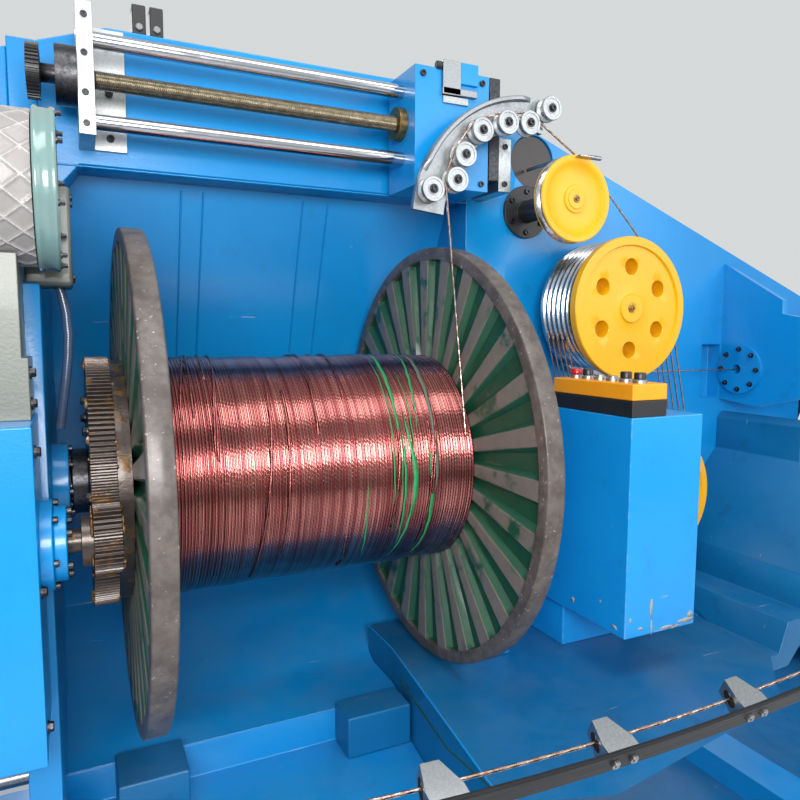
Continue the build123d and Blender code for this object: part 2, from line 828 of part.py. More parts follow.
def make_nose(side):
    """Cradle bearing: a housing on the side member, its upright plate and the bolted disc."""
    front = side * bearing_front
    length = bearing_back - bearing_front
    with BuildPart() as nose:
        with BuildSketch(facing_right(front)) as housing:
            Circle(bearing_radius)
            with Locations((wall_front, 0)):
                Rectangle(4 * bearing_radius, 3 * bearing_radius, align=(Align.MAX, Align.CENTER),
                          mode=Mode.INTERSECT)
        extrude(amount=side * length)
        with BuildSketch(facing_right(front)) as upright:
            with BuildLine():
                Polyline(*nose_outline, close=True)
            make_face()
        extrude(amount=-side * nose_plate)
        with BuildSketch(facing_right(front - side * nose_plate)) as disc:
            with Locations((nose_disc_shift, 0)):
                Circle(nose_disc_radius)
        extrude(amount=-side * nose_disc_thickness)
        with BuildSketch(facing_right(front)) as bearing_bore:
            Circle(shaft_radius + running_gap)
        extrude(amount=side * length, mode=Mode.SUBTRACT)
        with BuildSketch(facing_right(front - side * (nose_plate + nose_disc_thickness))) as strand_hole:
            Circle(shaft_bore)
        extrude(amount=side * (nose_plate + nose_disc_thickness), mode=Mode.SUBTRACT)
    return nose


keep(make_nose(-1), "left_nose")
keep(make_nose(1), "right_nose")

# Drive box: the front left pillar, with the pinion's stepped flange on its right face
with BuildPart() as drive_box:
    with BuildSketch(level(drive_box_bottom)) as box_outline:
        with BuildLine():
            Polyline((drive_box_left, drive_box_front), (drive_box_right, drive_box_front),
                     (drive_box_right, bulkhead_front), (bulkhead_left, bulkhead_front),
                     (bulkhead_left, drive_box_rear), (drive_box_left, drive_box_rear), close=True)
        make_face()
    extrude(amount=drive_box_top - drive_box_bottom)
    for radius, width in ((pinion_flange_radius, pinion_flange_width),
                          (pinion_step_radius, 2 * pinion_flange_width)):
        with BuildSketch(facing_right(drive_box_right)) as step_ring:
            with Locations((pinion_y, pinion_z)):
                Circle(radius)
        extrude(amount=width)
    with BuildSketch(facing_right(drive_box_right + 2 * pinion_flange_width)) as pinion_bore:
        with Locations((pinion_y, pinion_z)):
            Circle(pinion_shaft_radius + running_gap)
    extrude(amount=-2 * pinion_flange_width - 1.2 * pinion_shaft_depth, mode=Mode.SUBTRACT)
    with BuildSketch(facing_right(bulkhead_left)) as pintle_room:
        with Locations((reel_y, reel_z)):
            Circle(pintle_radius + moving_gap)
    extrude(amount=-1.5 * pintle_radius, mode=Mode.SUBTRACT)
keep(drive_box, "drive_box")

# Take-up gearbox on top of the drive box
with BuildPart() as take_up_gearbox:
    for right, bottom, top in ((gearbox_foot_right, drive_box_top, gearbox_foot_top),
                               (gearbox_right, gearbox_foot_top, take_up_z - take_up_radius + gearbox_seat)):
        with BuildSketch(level(bottom)) as gearbox_outline:
            with BuildLine():
                Polyline((gearbox_left, gearbox_front), (right, gearbox_front), (right, bulkhead_front),
                         (bulkhead_left, bulkhead_front), (bulkhead_left, gearbox_rear),
                         (gearbox_left, gearbox_rear), close=True)
            make_face()
        extrude(amount=top - bottom)
    with BuildSketch(facing_right(gearbox_left - gearbox_seat)) as motor_room:
        with Locations((take_up_y, take_up_z)):
            Circle(take_up_radius)
    extrude(amount=gearbox_foot_right - gearbox_left + 2 * gearbox_seat, mode=Mode.SUBTRACT)
keep(take_up_gearbox, "take_up_gearbox")

# Take-up motor with its flared end ring
with BuildPart() as take_up_motor:
    with BuildSketch(facing_right(take_up_face - take_up_ring - take_up_length)) as motor_body:
        with Locations((take_up_y, take_up_z)):
            Circle(take_up_radius)
    extrude(amount=take_up_length)
    with BuildSketch(facing_right(take_up_face - take_up_ring)) as end_ring:
        with Locations((take_up_y, take_up_z)):
            Circle(take_up_ring_radius)
    extrude(amount=take_up_ring)
    with BuildSketch(facing_right(take_up_face)) as fan_recess:
        with Locations((take_up_y, take_up_z)):
            Circle(take_up_radius - fan_lip)
    extrude(amount=-fan_depth, mode=Mode.SUBTRACT)
keep(take_up_motor, "take_up_motor")

# Terminal box on the motor's rear side
with BuildPart() as terminal_box:
    with BuildSketch(facing_right(terminal_left)) as box_face:
        with Locations((terminal_front + terminal_width / 2, terminal_bottom + terminal_height / 2)):
            RectangleRounded(terminal_width, terminal_height, terminal_width / 12)
    extrude(amount=terminal_depth)
keep(terminal_box, "terminal_box")

# Reel flanges: a plate between radial pressed ribs, with a deep rim and a hub
with BuildPart() as reel_flanges:
    for start in (reel_left, right_inner):
        with BuildSketch(facing_right(start)) as rim:
            with Locations((reel_y, reel_z)):
                Circle(reel_radius)
                Circle(reel_radius - rim_depth, mode=Mode.SUBTRACT)
                Circle(hub_radius)
                with PolarLocations(0, rib_count):
                    Polygon((0.9 * hub_radius, -rib_width_inner / 2),
                            (reel_radius - 0.9 * rim_depth, -rib_width_outer / 2),
                            (reel_radius - 0.9 * rim_depth, rib_width_outer / 2),
                            (0.9 * hub_radius, rib_width_inner / 2), align=None)
        extrude(amount=flange_width)
        with BuildSketch(facing_right(start + (flange_width - flange_plate) / 2)) as web:
            with Locations((reel_y, reel_z)):
                Circle(reel_radius - rim_depth)
        extrude(amount=flange_plate)
        with BuildSketch(facing_right(start)) as pintle_hole:
            with Locations((reel_y, reel_z)):
                Circle(pintle_radius)
        extrude(amount=flange_width, mode=Mode.SUBTRACT)
keep(reel_flanges, "reel_flanges")

# Wound strand between the flanges, as one round package
with BuildPart() as wound_strand:
    with BuildSketch(facing_right(reel_left + flange_width)) as package:
        with Locations((reel_y, reel_z)):
            Circle(wound_radius)
            Circle(pintle_radius, mode=Mode.SUBTRACT)
    extrude(amount=wound_length)
keep(wound_strand, "wound_strand")

# Pintles that hold the reel at both ends: the left one has a ring stack, the right one a collar
with BuildPart() as pintles:
    for start, end in ((bulkhead_left - 1.2 * pintle_radius, reel_left + flange_width),
                       (right_inner, right_outer + pintle_tail)):
        with BuildSketch(facing_right(start)) as pintle_bar:
            with Locations((reel_y, reel_z)):
                Circle(pintle_radius)
        extrude(amount=end - start)
    for start, radius, width in ((gear_left - ring_stack_width, ring_stack_radius, ring_stack_width),
                                 (right_outer, collar_radius, collar_width)):
        with BuildSketch(facing_right(start)) as collar:
            with Locations((reel_y, reel_z)):
                Circle(radius)
        extrude(amount=width)
keep(pintles, "pintles")

# Tailstock that carries the right pintle, on the deck behind the right flange
tail_left = right_outer + collar_width + moving_gap
with BuildPart() as tailstock:
    with BuildSketch(facing_right(tail_left)) as tail_face:
        with BuildLine():
            Polyline((tail_outline[-1][0], deck_top), (wall_front, deck_top), *tail_outline, close=True)
        make_face()
    extrude(amount=tailstock_width)
    with BuildSketch(facing_right(tail_left)) as tail_bore:
        with Locations((reel_y, reel_z)):
            Circle(pintle_radius + running_gap)
    extrude(amount=tailstock_width, mode=Mode.SUBTRACT)
keep(tailstock, "tailstock")

# Big reel gear and its pinion, in mesh, and the drive disc against the flange
with BuildPart() as reel_gear:
    gear_origin = (gear_left, reel_y, axis_height + reel_z)
    with BuildSketch(Plane(origin=gear_origin, x_dir=(0, 1, 0), z_dir=(1, 0, 0))) as gear_face:
        with BuildLine():
            Polyline(*gear_outline(gear_teeth), close=True)
        make_face()
        Circle(pintle_radius, mode=Mode.SUBTRACT)
    extrude(amount=gear_width)
    with BuildSketch(facing_right(gear_right)) as disc_face:
        with Locations((reel_y, reel_z)):
            Circle(drive_disc_radius)
            Circle(pintle_radius, mode=Mode.SUBTRACT)
    extrude(amount=drive_disc_width)
keep(reel_gear, "reel_gear")

# The line of centres leaves the gear at this angle, and a pinion gap faces a gear tooth there
mesh_angle = 180 + pinion_drop_angle
gear_phase = (mesh_angle / (360 / gear_teeth)) % 1
pinion_phase = pinion_drop_angle + (0.5 + gear_phase) * 360 / pinion_teeth
with BuildPart() as pinion:
    first_tooth = (0, cos(radians(pinion_phase)), sin(radians(pinion_phase)))
    teeth_start = gear_left - 1
    pinion_origin = (teeth_start, pinion_y, axis_height + pinion_z)
    with BuildSketch(Plane(origin=pinion_origin, x_dir=first_tooth, z_dir=(1, 0, 0))) as pinion_face:
        with BuildLine():
            Polyline(*gear_outline(pinion_teeth), close=True)
        make_face()
    extrude(amount=gear_width)
    for radius, length in ((pinion_ring_radius, pinion_ring_width),
                           (pinion_shaft_radius, teeth_start - drive_box_right + pinion_shaft_depth)):
        with BuildSketch(facing_right(teeth_start)) as pinion_step:
            with Locations((pinion_y, pinion_z)):
                Circle(radius)
        extrude(amount=-length)
keep(pinion, "pinion")

# Traverse: two rods and a screw between end brackets on the beam
rod_end = plate_right + plate_right_thickness
with BuildPart() as traverse_rods:
    for height in (rod_low, rod_high):
        with BuildSketch(facing_right(plate_left)) as rod:
            with Locations((rod_y, height)):
                Circle(rod_radius)
        extrude(amount=rod_end - plate_left)
keep(traverse_rods, "traverse_rods")


def bracket_plate(start, width):
    """Upright plate that stands out from the beam, bored for the rods and the screw."""
    with BuildPart() as plate:
        with BuildSketch(facing_right(start)) as bracket_face:
            with BuildLine():
                Polyline((wall_front, bracket_top), (bracket_front, bracket_top),
                         (bracket_front, bracket_bottom), (wall_front, bracket_bottom), close=True)
            make_face()
            with Locations((rod_y, rod_low), (rod_y, rod_high)):
                Circle(rod_radius, mode=Mode.SUBTRACT)
            with Locations((rod_y, screw_z)):
                Circle(screw_radius + running_gap, mode=Mode.SUBTRACT)
        extrude(amount=width)
    return plate.part


# Left bracket with its foot on the beam, and the light plate at the right end
with BuildPart() as traverse_brackets:
    add(bracket_plate(plate_left, plate_thickness))
    with BuildSketch(facing_front(wall_front)) as bracket_foot:
        with BuildLine():
            Polyline((plate_left + plate_thickness, bracket_bottom), (foot_right, bracket_bottom),
                     (foot_right, bracket_top), (plate_left + plate_thickness, bracket_top), close=True)
        make_face()
    extrude(amount=foot_thickness)
    with BuildSketch(facing_right(rod_end)) as end_plate:
        with BuildLine():
            Polyline((wall_front, end_plate_top), (bracket_front, end_plate_top),
                     (bracket_front, end_plate_bottom), (wall_front, end_plate_bottom), close=True)
        make_face()
        with Locations((rod_y, screw_z)):
            Circle(screw_radius + moving_gap, mode=Mode.SUBTRACT)
    extrude(amount=end_plate_thickness)
keep(traverse_brackets, "traverse_brackets")

# Dark right bracket and the screw's bearing housing on the left one
with BuildPart() as screw_bearings:
    add(bracket_plate(plate_right, plate_right_thickness))
    with BuildSketch(facing_right(plate_left)) as screw_housing:
        with Locations((rod_y, screw_z)):
            Circle(housing_radius)
            Circle(screw_radius + running_gap, mode=Mode.SUBTRACT)
    extrude(amount=-housing_width)
keep(screw_bearings, "screw_bearings")

# Lead screw with its belt pulley at the left end
with BuildPart() as lead_screw:
    screw_left = plate_left - screw_overhang
    with BuildSketch(facing_right(screw_left)) as screw_bar:
        with Locations((rod_y, screw_z)):
            Circle(screw_radius)
    extrude(amount=rod_end - screw_left)
    with BuildSketch(facing_right(screw_left)) as screw_pulley:
        with Locations((rod_y, screw_z)):
            Circle(screw_pulley_radius)
    extrude(amount=screw_pulley_width)
keep(lead_screw, "lead_screw")

# Carriage on the rods, with its bronze nut flange
with BuildPart() as carriage:
    with BuildSketch(facing_right(carriage_left)) as carriage_face:
        with BuildLine():
            Polyline((carriage_rear, carriage_bottom), (carriage_front, carriage_bottom),
                     (carriage_front, carriage_top), (carriage_rear, carriage_top), close=True)
        make_face()
        with Locations((rod_y, rod_low), (rod_y, rod_high)):
            Circle(rod_radius + running_gap, mode=Mode.SUBTRACT)
        with Locations((rod_y, screw_z)):
            Circle(screw_radius + moving_gap, mode=Mode.SUBTRACT)
    extrude(amount=carriage_length)
keep(carriage, "carriage")
with BuildPart() as screw_nut:
    with BuildSketch(facing_right(carriage_left)) as nut_flange:
        with Locations((rod_y, screw_z)):
            Circle(nut_radius)
            Circle(screw_radius + running_gap, mode=Mode.SUBTRACT)
    extrude(amount=-nut_width)
keep(screw_nut, "screw_nut")

# Sensor on the carriage: an angle on its front face and the box behind it on the top
with BuildPart() as carriage_sensor:
    with BuildSketch(facing_front(carriage_front)) as sensor_angle:
        with BuildLine():
            Polyline((angle_left, angle_bottom), (angle_left + angle_width, angle_bottom),
                     (angle_left + angle_width, angle_top), (angle_left, angle_top), close=True)
        make_face()
    extrude(amount=angle_thickness)
    with BuildSketch(level(carriage_top)) as sensor_plan:
        with Locations((angle_left + angle_width - angle_thickness, carriage_front)):
            Rectangle(sensor_width, sensor_depth, align=(Align.MIN, Align.MIN))
    extrude(amount=sensor_height)
keep(carriage_sensor, "carriage_sensor")

# Arc guide: the wide curved plate, its two standoffs and the rollers' pins
with BuildPart() as arc_guide:
    arc_middle = (arc_outer + arc_inner) / 2
    with BuildSketch(facing_front(carriage_front)) as standoffs:
        for angle in standoff_angles:
            with Locations((arc_x + arc_middle * cos(radians(angle)),
                            arc_z + arc_middle * sin(radians(angle)))):
                Rectangle(standoff_length, standoff_height)
    extrude(amount=arc_standoff)
    with BuildSketch(facing_front(arc_rear)) as arc_face:
        with BuildLine():
            CenterArc((arc_x, arc_z), arc_outer, arc_start, arc_sweep)
            CenterArc((arc_x, arc_z), arc_inner, arc_start, arc_sweep)
            for end in (radians(arc_start), radians(arc_start + arc_sweep)):
                Line((arc_x + arc_outer * cos(end), arc_z + arc_outer * sin(end)),
                     (arc_x + arc_inner * cos(end), arc_z + arc_inner * sin(end)))
        make_face()
    extrude(amount=arc_plate)
    with BuildSketch(facing_front(arc_rear - arc_plate)) as pins:
        with Locations(*roller_places):
            Circle(roller_pin_radius)
    extrude(amount=roller_width + 2 * roller_gap)
keep(arc_guide, "arc_guide")

for number, place in enumerate(roller_places, 1):
    with BuildPart() as roller:
        with BuildSketch(facing_front(roller_back)) as roller_face:
            with Locations(place):
                Circle(roller_radius)
                Circle(roller_pin_radius + running_gap, mode=Mode.SUBTRACT)
        extrude(amount=roller_width)
        with BuildSketch(facing_front(strand_plane + roller_groove / 2)) as roller_track:
            with Locations(place):
                Circle(roller_radius)
                Circle(roller_track_radius, mode=Mode.SUBTRACT)
        extrude(amount=roller_groove, mode=Mode.SUBTRACT)
    keep(roller, f"guide_roller_{number}")

# Strand over the arc of rollers and down to the winding, moving with the carriage
strand_reach = roller_track_radius + strand_radius + seat_gap


def tangent_ends(first, second, reach_first, reach_second):
    """Ends of the straight stretch that touches two circles on the side left of the travel."""
    a = Vector(first[0], 0, first[1])
    b = Vector(second[0], 0, second[1])
    along = (b - a).normalized()
    share = (reach_first - reach_second) / (b - a).length
    side = Vector(along.Z, 0, -along.X) * sqrt(1 - share**2) + along * share
    return a + side * reach_first, b + side * reach_second


def straight_run(start, end):
    """One straight stretch of strand between two places measured from the rotor axis."""
    run = end - start
    base = Plane(origin=start + Vector(0, 0, axis_height), z_dir=run.normalized())
    return Solid.make_cylinder(strand_radius, run.length, base)


package_reach = wound_radius + strand_radius + seat_gap
landing = Vector(landing_x, reel_y + package_reach * cos(radians(landing_angle)),
                 reel_z + package_reach * sin(radians(landing_angle)))
arc_rollers = list(reversed(roller_places[1:6]))
in_plane = Vector(0, strand_plane, 0)
with BuildPart() as strand_on_rollers:
    for first, second in zip(arc_rollers, arc_rollers[1:]):
        start, end = tangent_ends(first, second, strand_reach, strand_reach)
        add(straight_run(start + in_plane, end + in_plane))
    add(straight_run(Vector(roller_places[1][0] - strand_reach, strand_plane, roller_places[1][1]), landing))
keep(strand_on_rollers, "strand_on_rollers")

# Guide wheel with its black mounting flange on the side member
with BuildPart() as guide_wheel:
    with BuildSketch(facing_front(wheel_front + wheel_width)) as wheel_face:
        with Locations((wheel_x, wheel_z)):
            Circle(wheel_radius)
            Circle(wheel_bore + running_gap, mode=Mode.SUBTRACT)
    extrude(amount=wheel_width)
    with BuildSketch(facing_front(wheel_plane + wheel_groove / 2)) as wheel_track:
        with Locations((wheel_x, wheel_z)):
            Circle(wheel_radius)
            Circle(wheel_track_radius, mode=Mode.SUBTRACT)
    extrude(amount=wheel_groove, mode=Mode.SUBTRACT)
keep(guide_wheel, "guide_wheel")
with BuildPart() as wheel_mount:
    for radius, length in ((mount_radius, mount_thickness),
                           (mount_neck_radius, wall_front - wheel_front - wheel_width - moving_gap),
                           (wheel_bore, wall_front - wheel_front - moving_gap)):
        with BuildSketch(facing_front(wall_front)) as mount_step:
            with Locations((wheel_x, wheel_z)):
                Circle(radius)
        extrude(amount=length)
keep(wheel_mount, "wheel_mount")


def make_capstan(x, z):
    """Grooved drum on its shaft, with a dished front disc that has six lightening holes."""
    origin = (x, drum_front, axis_height + z)
    land = 0.44 * groove_pitch
    groove_floor = 0.24 * groove_pitch
    shaft_end = wall_front + shaft_depth - drum_front
    with BuildPart() as capstan:
        with BuildSketch(Plane(origin=origin, x_dir=(1, 0, 0), z_dir=(0, 0, 1))) as half:
            with BuildLine():
                points = [(0, 0), (drum_radius, 0)]
                for index in reversed(range(groove_count)):
                    y = -index * groove_pitch - drum_front
                    points += [(drum_radius, y - land), (groove_radius, y - groove_floor),
                               (groove_radius, y + groove_floor), (drum_radius, y + land)]
                points += [(drum_radius, drum_rear - drum_front), (capstan_shaft, drum_rear - drum_front),
                           (capstan_shaft, shaft_end), (0, shaft_end)]
                Polyline(*points, close=True)
            make_face()
        revolve(axis=Axis(origin, (0, 1, 0)))
        with BuildSketch(facing_front(drum_front)) as disc_outline:
            with Locations((x, z)):
                Circle(capstan_radius)
        extrude(amount=capstan_disc)
        with BuildSketch(facing_front(front_plane)) as dish:
            with Locations((x, z)):
                Circle(capstan_radius - dish_rim)
                Circle(dish_boss, mode=Mode.SUBTRACT)
        extrude(amount=-dish_depth, mode=Mode.SUBTRACT)
        with BuildSketch(facing_front(front_plane)) as lightening_holes:
            with Locations((x, z)):
                with PolarLocations(lightening_circle, lightening_count, 30):
                    Circle(lightening_radius)
        extrude(amount=-capstan_disc - lightening_radius, mode=Mode.SUBTRACT)
    return capstan


keep(make_capstan(upper_x, upper_z), "upper_capstan")
keep(make_capstan(lower_x, lower_z), "lower_capstan")

# Control cabinet with its plinth and the two-colour console on top
with BuildPart() as cabinet:
    with BuildSketch(level(cabinet_bottom)) as cabinet_outline:
        with BuildLine():
            Polyline((cabinet_left, cabinet_front), (cabinet_right, cabinet_front),
                     (cabinet_right, cabinet_rear), (cabinet_rear_right, cabinet_rear),
                     (cabinet_rear_right, wall_front), (cabinet_left, wall_front), close=True)
        make_face()
    extrude(amount=cabinet_top - cabinet_bottom)
    with BuildSketch(level(deck_top)) as plinth:
        with BuildLine():
            Polyline((plinth_left, plinth_front), (cabinet_right, plinth_front), (cabinet_right, wall_front),
                     (plinth_left, wall_front), close=True)
        make_face()
    extrude(amount=cabinet_bottom - deck_top)
keep(cabinet, "cabinet")
with BuildPart() as console:
    with BuildSketch(level(cabinet_top)) as console_outline:
        with BuildLine():
            Polyline((cabinet_left, cabinet_front), (console_right, cabinet_front),
                     (console_right, console_rear), (cabinet_left, console_rear), close=True)
        make_face()
    extrude(amount=2 * console_layer)
keep(console, "console")
console_face = cabinet_top + 2 * console_layer
button_x = cabinet_left + button_inset[0]
with BuildPart() as console_buttons:
    with BuildSketch(level(console_face)) as buttons:
        for index in range(button_count):
            with Locations((button_x, cabinet_front + button_inset[1] + button_pitch * index)):
                Circle(button_radius)
    extrude(amount=button_height)
keep(console_buttons, "console_buttons")

# Strand on the machine: from the nose to the capstans, between them and on to the guide wheel
nose_face = bearing_front - nose_plate - nose_disc_thickness
groove_reach = groove_radius + strand_radius + seat_gap
wheel_reach = wheel_track_radius + strand_radius + seat_gap
at_wheel = Vector(0, wheel_plane, 0)
with BuildPart() as strand_runs:
    add(straight_run(Vector(upper_x, 0, 0), Vector(nose_face, 0, 0)))
    down = Vector(lower_x - upper_x, 0, lower_z - upper_z).normalized()
    across = Vector(-down.Z, 0, down.X)
    for index in range(groove_count - 1):
        for side in (-1, 1):
            to_edge = across * (side * groove_reach)
            next_groove = -(index + 1) * groove_pitch
            head_groove = -index * groove_pitch if side < 0 else next_groove
            add(straight_run(Vector(upper_x, head_groove, upper_z) + to_edge,
                             Vector(lower_x, next_groove, lower_z) + to_edge))
    outgoing = tangent_ends((upper_x, upper_z), (wheel_x, wheel_z), groove_reach, wheel_reach)
    last_groove = Vector(0, (1 - groove_count) * groove_pitch, 0)
    add(straight_run(outgoing[0] + last_groove, outgoing[1] + at_wheel))
keep(strand_runs, "strand_runs")

# The stretch between the guide wheel and the arc: it lengthens as the carriage moves away
with BuildPart() as strand_span:
    span = tangent_ends((wheel_x, wheel_z), roller_places[5], wheel_reach, strand_reach)
    add(straight_run(span[0] + at_wheel, span[1] + in_plane))
keep(strand_span, "strand_span")
print("pinion", round(pinion_y), round(pinion_z), "right flange", right_inner, right_outer)
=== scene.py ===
# %% [markdown]
# # Dressing a double twist bunching machine
# The machine twists copper wires into a strand. Two bows swing round a cradle that stays level,
# and the cradle carries the reel, its gear drive, the traverse, the capstans and a cabinet.
# The construction arrives as a fixed frame of plain solids. This notebook gives each of them its
# real finish, and makes the parts that plain solids can't show: wound strand, threads, bolts.

# %% Load the frame
import json
from math import pi, radians

import bmesh
import bpy
import numpy as np
from mathutils import Matrix, Vector


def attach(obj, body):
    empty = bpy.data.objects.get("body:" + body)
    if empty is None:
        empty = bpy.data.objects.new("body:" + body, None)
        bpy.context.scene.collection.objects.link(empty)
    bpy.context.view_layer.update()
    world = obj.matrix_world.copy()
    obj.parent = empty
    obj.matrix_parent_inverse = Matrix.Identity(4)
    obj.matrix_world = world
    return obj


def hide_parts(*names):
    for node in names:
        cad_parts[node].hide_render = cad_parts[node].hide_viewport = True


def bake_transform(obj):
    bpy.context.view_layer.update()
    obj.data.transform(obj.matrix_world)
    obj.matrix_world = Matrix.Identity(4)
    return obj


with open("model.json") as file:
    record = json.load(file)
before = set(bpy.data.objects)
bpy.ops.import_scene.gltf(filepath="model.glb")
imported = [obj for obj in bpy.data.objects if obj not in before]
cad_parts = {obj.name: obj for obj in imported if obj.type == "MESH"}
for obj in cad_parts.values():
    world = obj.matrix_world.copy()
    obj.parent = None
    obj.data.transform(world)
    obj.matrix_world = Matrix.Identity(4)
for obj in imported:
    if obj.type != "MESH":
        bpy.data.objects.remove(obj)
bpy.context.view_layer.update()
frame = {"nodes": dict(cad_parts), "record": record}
nodes = frame["nodes"]
body_of_node = {node: body for body, names in frame["record"]["behaviour"]["bodies"].items() for node in names}
print("nodes:", len(nodes))

# %% [markdown]
# ## Camera, light and floor
# The photograph was taken from close to the drive end, at eye height, so the camera stands there
# too and looks slightly down and to the right. The light is plain: soft lamps in front, at the
# right, above and behind, and a pale world. Rays from the camera and from glossy surfaces meet a
# white world instead, through Light Path.

# %% Camera
CAMERA_PLACE = Vector((-0.860, -1.957, 1.722))
CAMERA_TURN, CAMERA_DOWN, CAMERA_ROLL = radians(-25.47), radians(5.52), radians(0.15)

camera = bpy.data.objects.new("camera", bpy.data.cameras.new("camera"))
bpy.context.scene.collection.objects.link(camera)
camera.data.lens = 30.95
camera.data.sensor_width = 36
camera.data.clip_start = 0.05
camera.matrix_world = (Matrix.Translation(CAMERA_PLACE) @ Matrix.Rotation(CAMERA_TURN, 4, "Z")
                       @ Matrix.Rotation(pi / 2 - CAMERA_DOWN, 4, "X") @ Matrix.Rotation(CAMERA_ROLL, 4, "Z"))
bpy.context.scene.camera = camera
bpy.context.scene.view_settings.view_transform = "Standard"
print("camera at", tuple(round(v, 2) for v in CAMERA_PLACE))


# %% Node helpers: one call adds a node, fills its sockets and gives one output back
def wire(tree, kind, inputs=None, output=0, **options):
    """Add a node of this kind; a socket given as a value is linked, a number is typed in."""
    node = tree.nodes.new(kind)
    for option, value in options.items():
        setattr(node, option, value)
    for socket, value in (inputs or {}).items():
        if isinstance(value, bpy.types.NodeSocket):
            tree.links.new(value, node.inputs[socket])
        else:
            node.inputs[socket].default_value = value
    return node.outputs[output]


def mix_colour(tree, factor, first, second):
    """Blend two colours by a factor."""
    return wire(tree, "ShaderNodeMix", {0: factor, 6: first, 7: second}, 2, data_type="RGBA")


def calculate(tree, operation, first, second=0.0, clamp=False):
    """One arithmetic step on values."""
    return wire(tree, "ShaderNodeMath", {0: first, 1: second}, operation=operation, use_clamp=clamp)


def ramp(tree, value, low, high, out_low=0.0, out_high=1.0):
    """Smooth step: out_low below low, out_high above high."""
    return wire(tree, "ShaderNodeMapRange", {0: value, 1: low, 2: high, 3: out_low, 4: out_high},
                interpolation_type="SMOOTHSTEP")


def noise(tree, place, scale, detail=4.0, roughness=0.6):
    """Fractal noise around 0.5 at a place."""
    return wire(tree, "ShaderNodeTexNoise", {"Vector": place, "Scale": scale, "Detail": detail,
                                             "Roughness": roughness}, "Fac")


# %% World and lamps
world = bpy.data.worlds.new("studio")
bpy.context.scene.world = world
world.use_nodes = True
sky = world.node_tree
sky.nodes.clear()
light_path = wire(sky, "ShaderNodeLightPath").node
seen_ray = calculate(sky, "MAXIMUM", light_path.outputs["Is Camera Ray"], light_path.outputs["Is Glossy Ray"])
soft_sky = wire(sky, "ShaderNodeBackground", {"Color": (0.88, 0.93, 1.0, 1), "Strength": 0.50})
white_sky = wire(sky, "ShaderNodeBackground", {"Color": (0.84, 0.87, 0.87, 1), "Strength": 0.80})
sky_output = sky.nodes.new("ShaderNodeOutputWorld")
sky.links.new(wire(sky, "ShaderNodeMixShader", {0: seen_ray, 1: soft_sky, 2: white_sky}),
              sky_output.inputs["Surface"])


def soft_lamp(name, place, aim, size, power, colour=(1, 1, 1)):
    """Rectangular area lamp that looks from its place at its aim."""
    lamp = bpy.data.lights.new(name, "AREA")
    lamp.shape = "RECTANGLE"
    lamp.size, lamp.size_y = size
    lamp.energy = power
    lamp.color = colour
    holder = bpy.data.objects.new(name, lamp)
    bpy.context.scene.collection.objects.link(holder)
    direction = Vector(aim) - Vector(place)
    turn = direction.to_track_quat("-Z", "Y").to_matrix().to_4x4()
    holder.matrix_world = Matrix.Translation(Vector(place)) @ turn


soft_lamp("key_lamp", (-1.2, -3.25, 2.30), (0.0, 0.0, 1.4), (1.9, 0.9), 118, (1.0, 0.98, 0.97))
soft_lamp("fill_lamp", (3.4, -4.2, 3.0), (0.8, 0.0, 1.3), (3.0, 2.4), 65, (0.94, 0.97, 1.0))
soft_lamp("top_lamp", (-0.2, -2.0, 4.9), (0.0, 0.0, 1.5), (3.2, 1.4), 80)
soft_lamp("back_lamp", (0.5, 5.0, 3.6), (0.0, 0.0, 1.2), (4.0, 2.0), 130)
print("lamps: 4")


# %% Mesh helpers
def grid_faces(rows, columns, wrap_rows=False, wrap_columns=False):
    """Corner numbers of the quads between neighbouring points of a rows by columns grid."""
    i, j = np.meshgrid(np.arange(rows - (not wrap_rows)), np.arange(columns - (not wrap_columns)), indexing="ij")
    i2, j2 = (i + 1) % rows, (j + 1) % columns
    corners = (i * columns + j, i2 * columns + j, i2 * columns + j2, i * columns + j2)
    return np.stack(corners, axis=-1).reshape(-1, 4)


def quad_mesh(name, points, faces, uv=None):
    """Mesh from arrays of points and quads; uv gives one pair per point."""
    points = np.asarray(points, dtype=np.float32).reshape(-1, 3)
    faces = np.asarray(faces, dtype=np.int32)
    mesh = bpy.data.meshes.new(name)
    mesh.vertices.add(len(points))
    mesh.vertices.foreach_set("co", points.ravel())
    mesh.loops.add(faces.size)
    mesh.loops.foreach_set("vertex_index", faces.ravel())
    mesh.polygons.add(len(faces))
    mesh.polygons.foreach_set("loop_start", np.arange(0, faces.size, 4, dtype=np.int32))
    mesh.update(calc_edges=True)
    if uv is not None:
        pairs = np.asarray(uv, dtype=np.float32).reshape(-1, 2)[faces.ravel()]
        mesh.uv_layers.new(name="UVMap").data.foreach_set("uv", pairs.ravel())
    return mesh


def ride_and_slot(piece, body, stands_for=()):
    """Let a piece move with its body, if one is named, and stand for frame nodes, which are hidden."""
    if body:
        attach(piece, body)
    if stands_for:
        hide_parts(*stands_for)


def round_edges(piece, width, angle=32, segments=2):
    """Bevel modifier that rounds the sharp edges and keeps flat faces flat."""
    bevel = piece.modifiers.new("rounded edges", "BEVEL")
    bevel.width = width
    bevel.segments = segments
    bevel.limit_method = "ANGLE"
    bevel.angle_limit = radians(angle)
    bevel.harden_normals = True


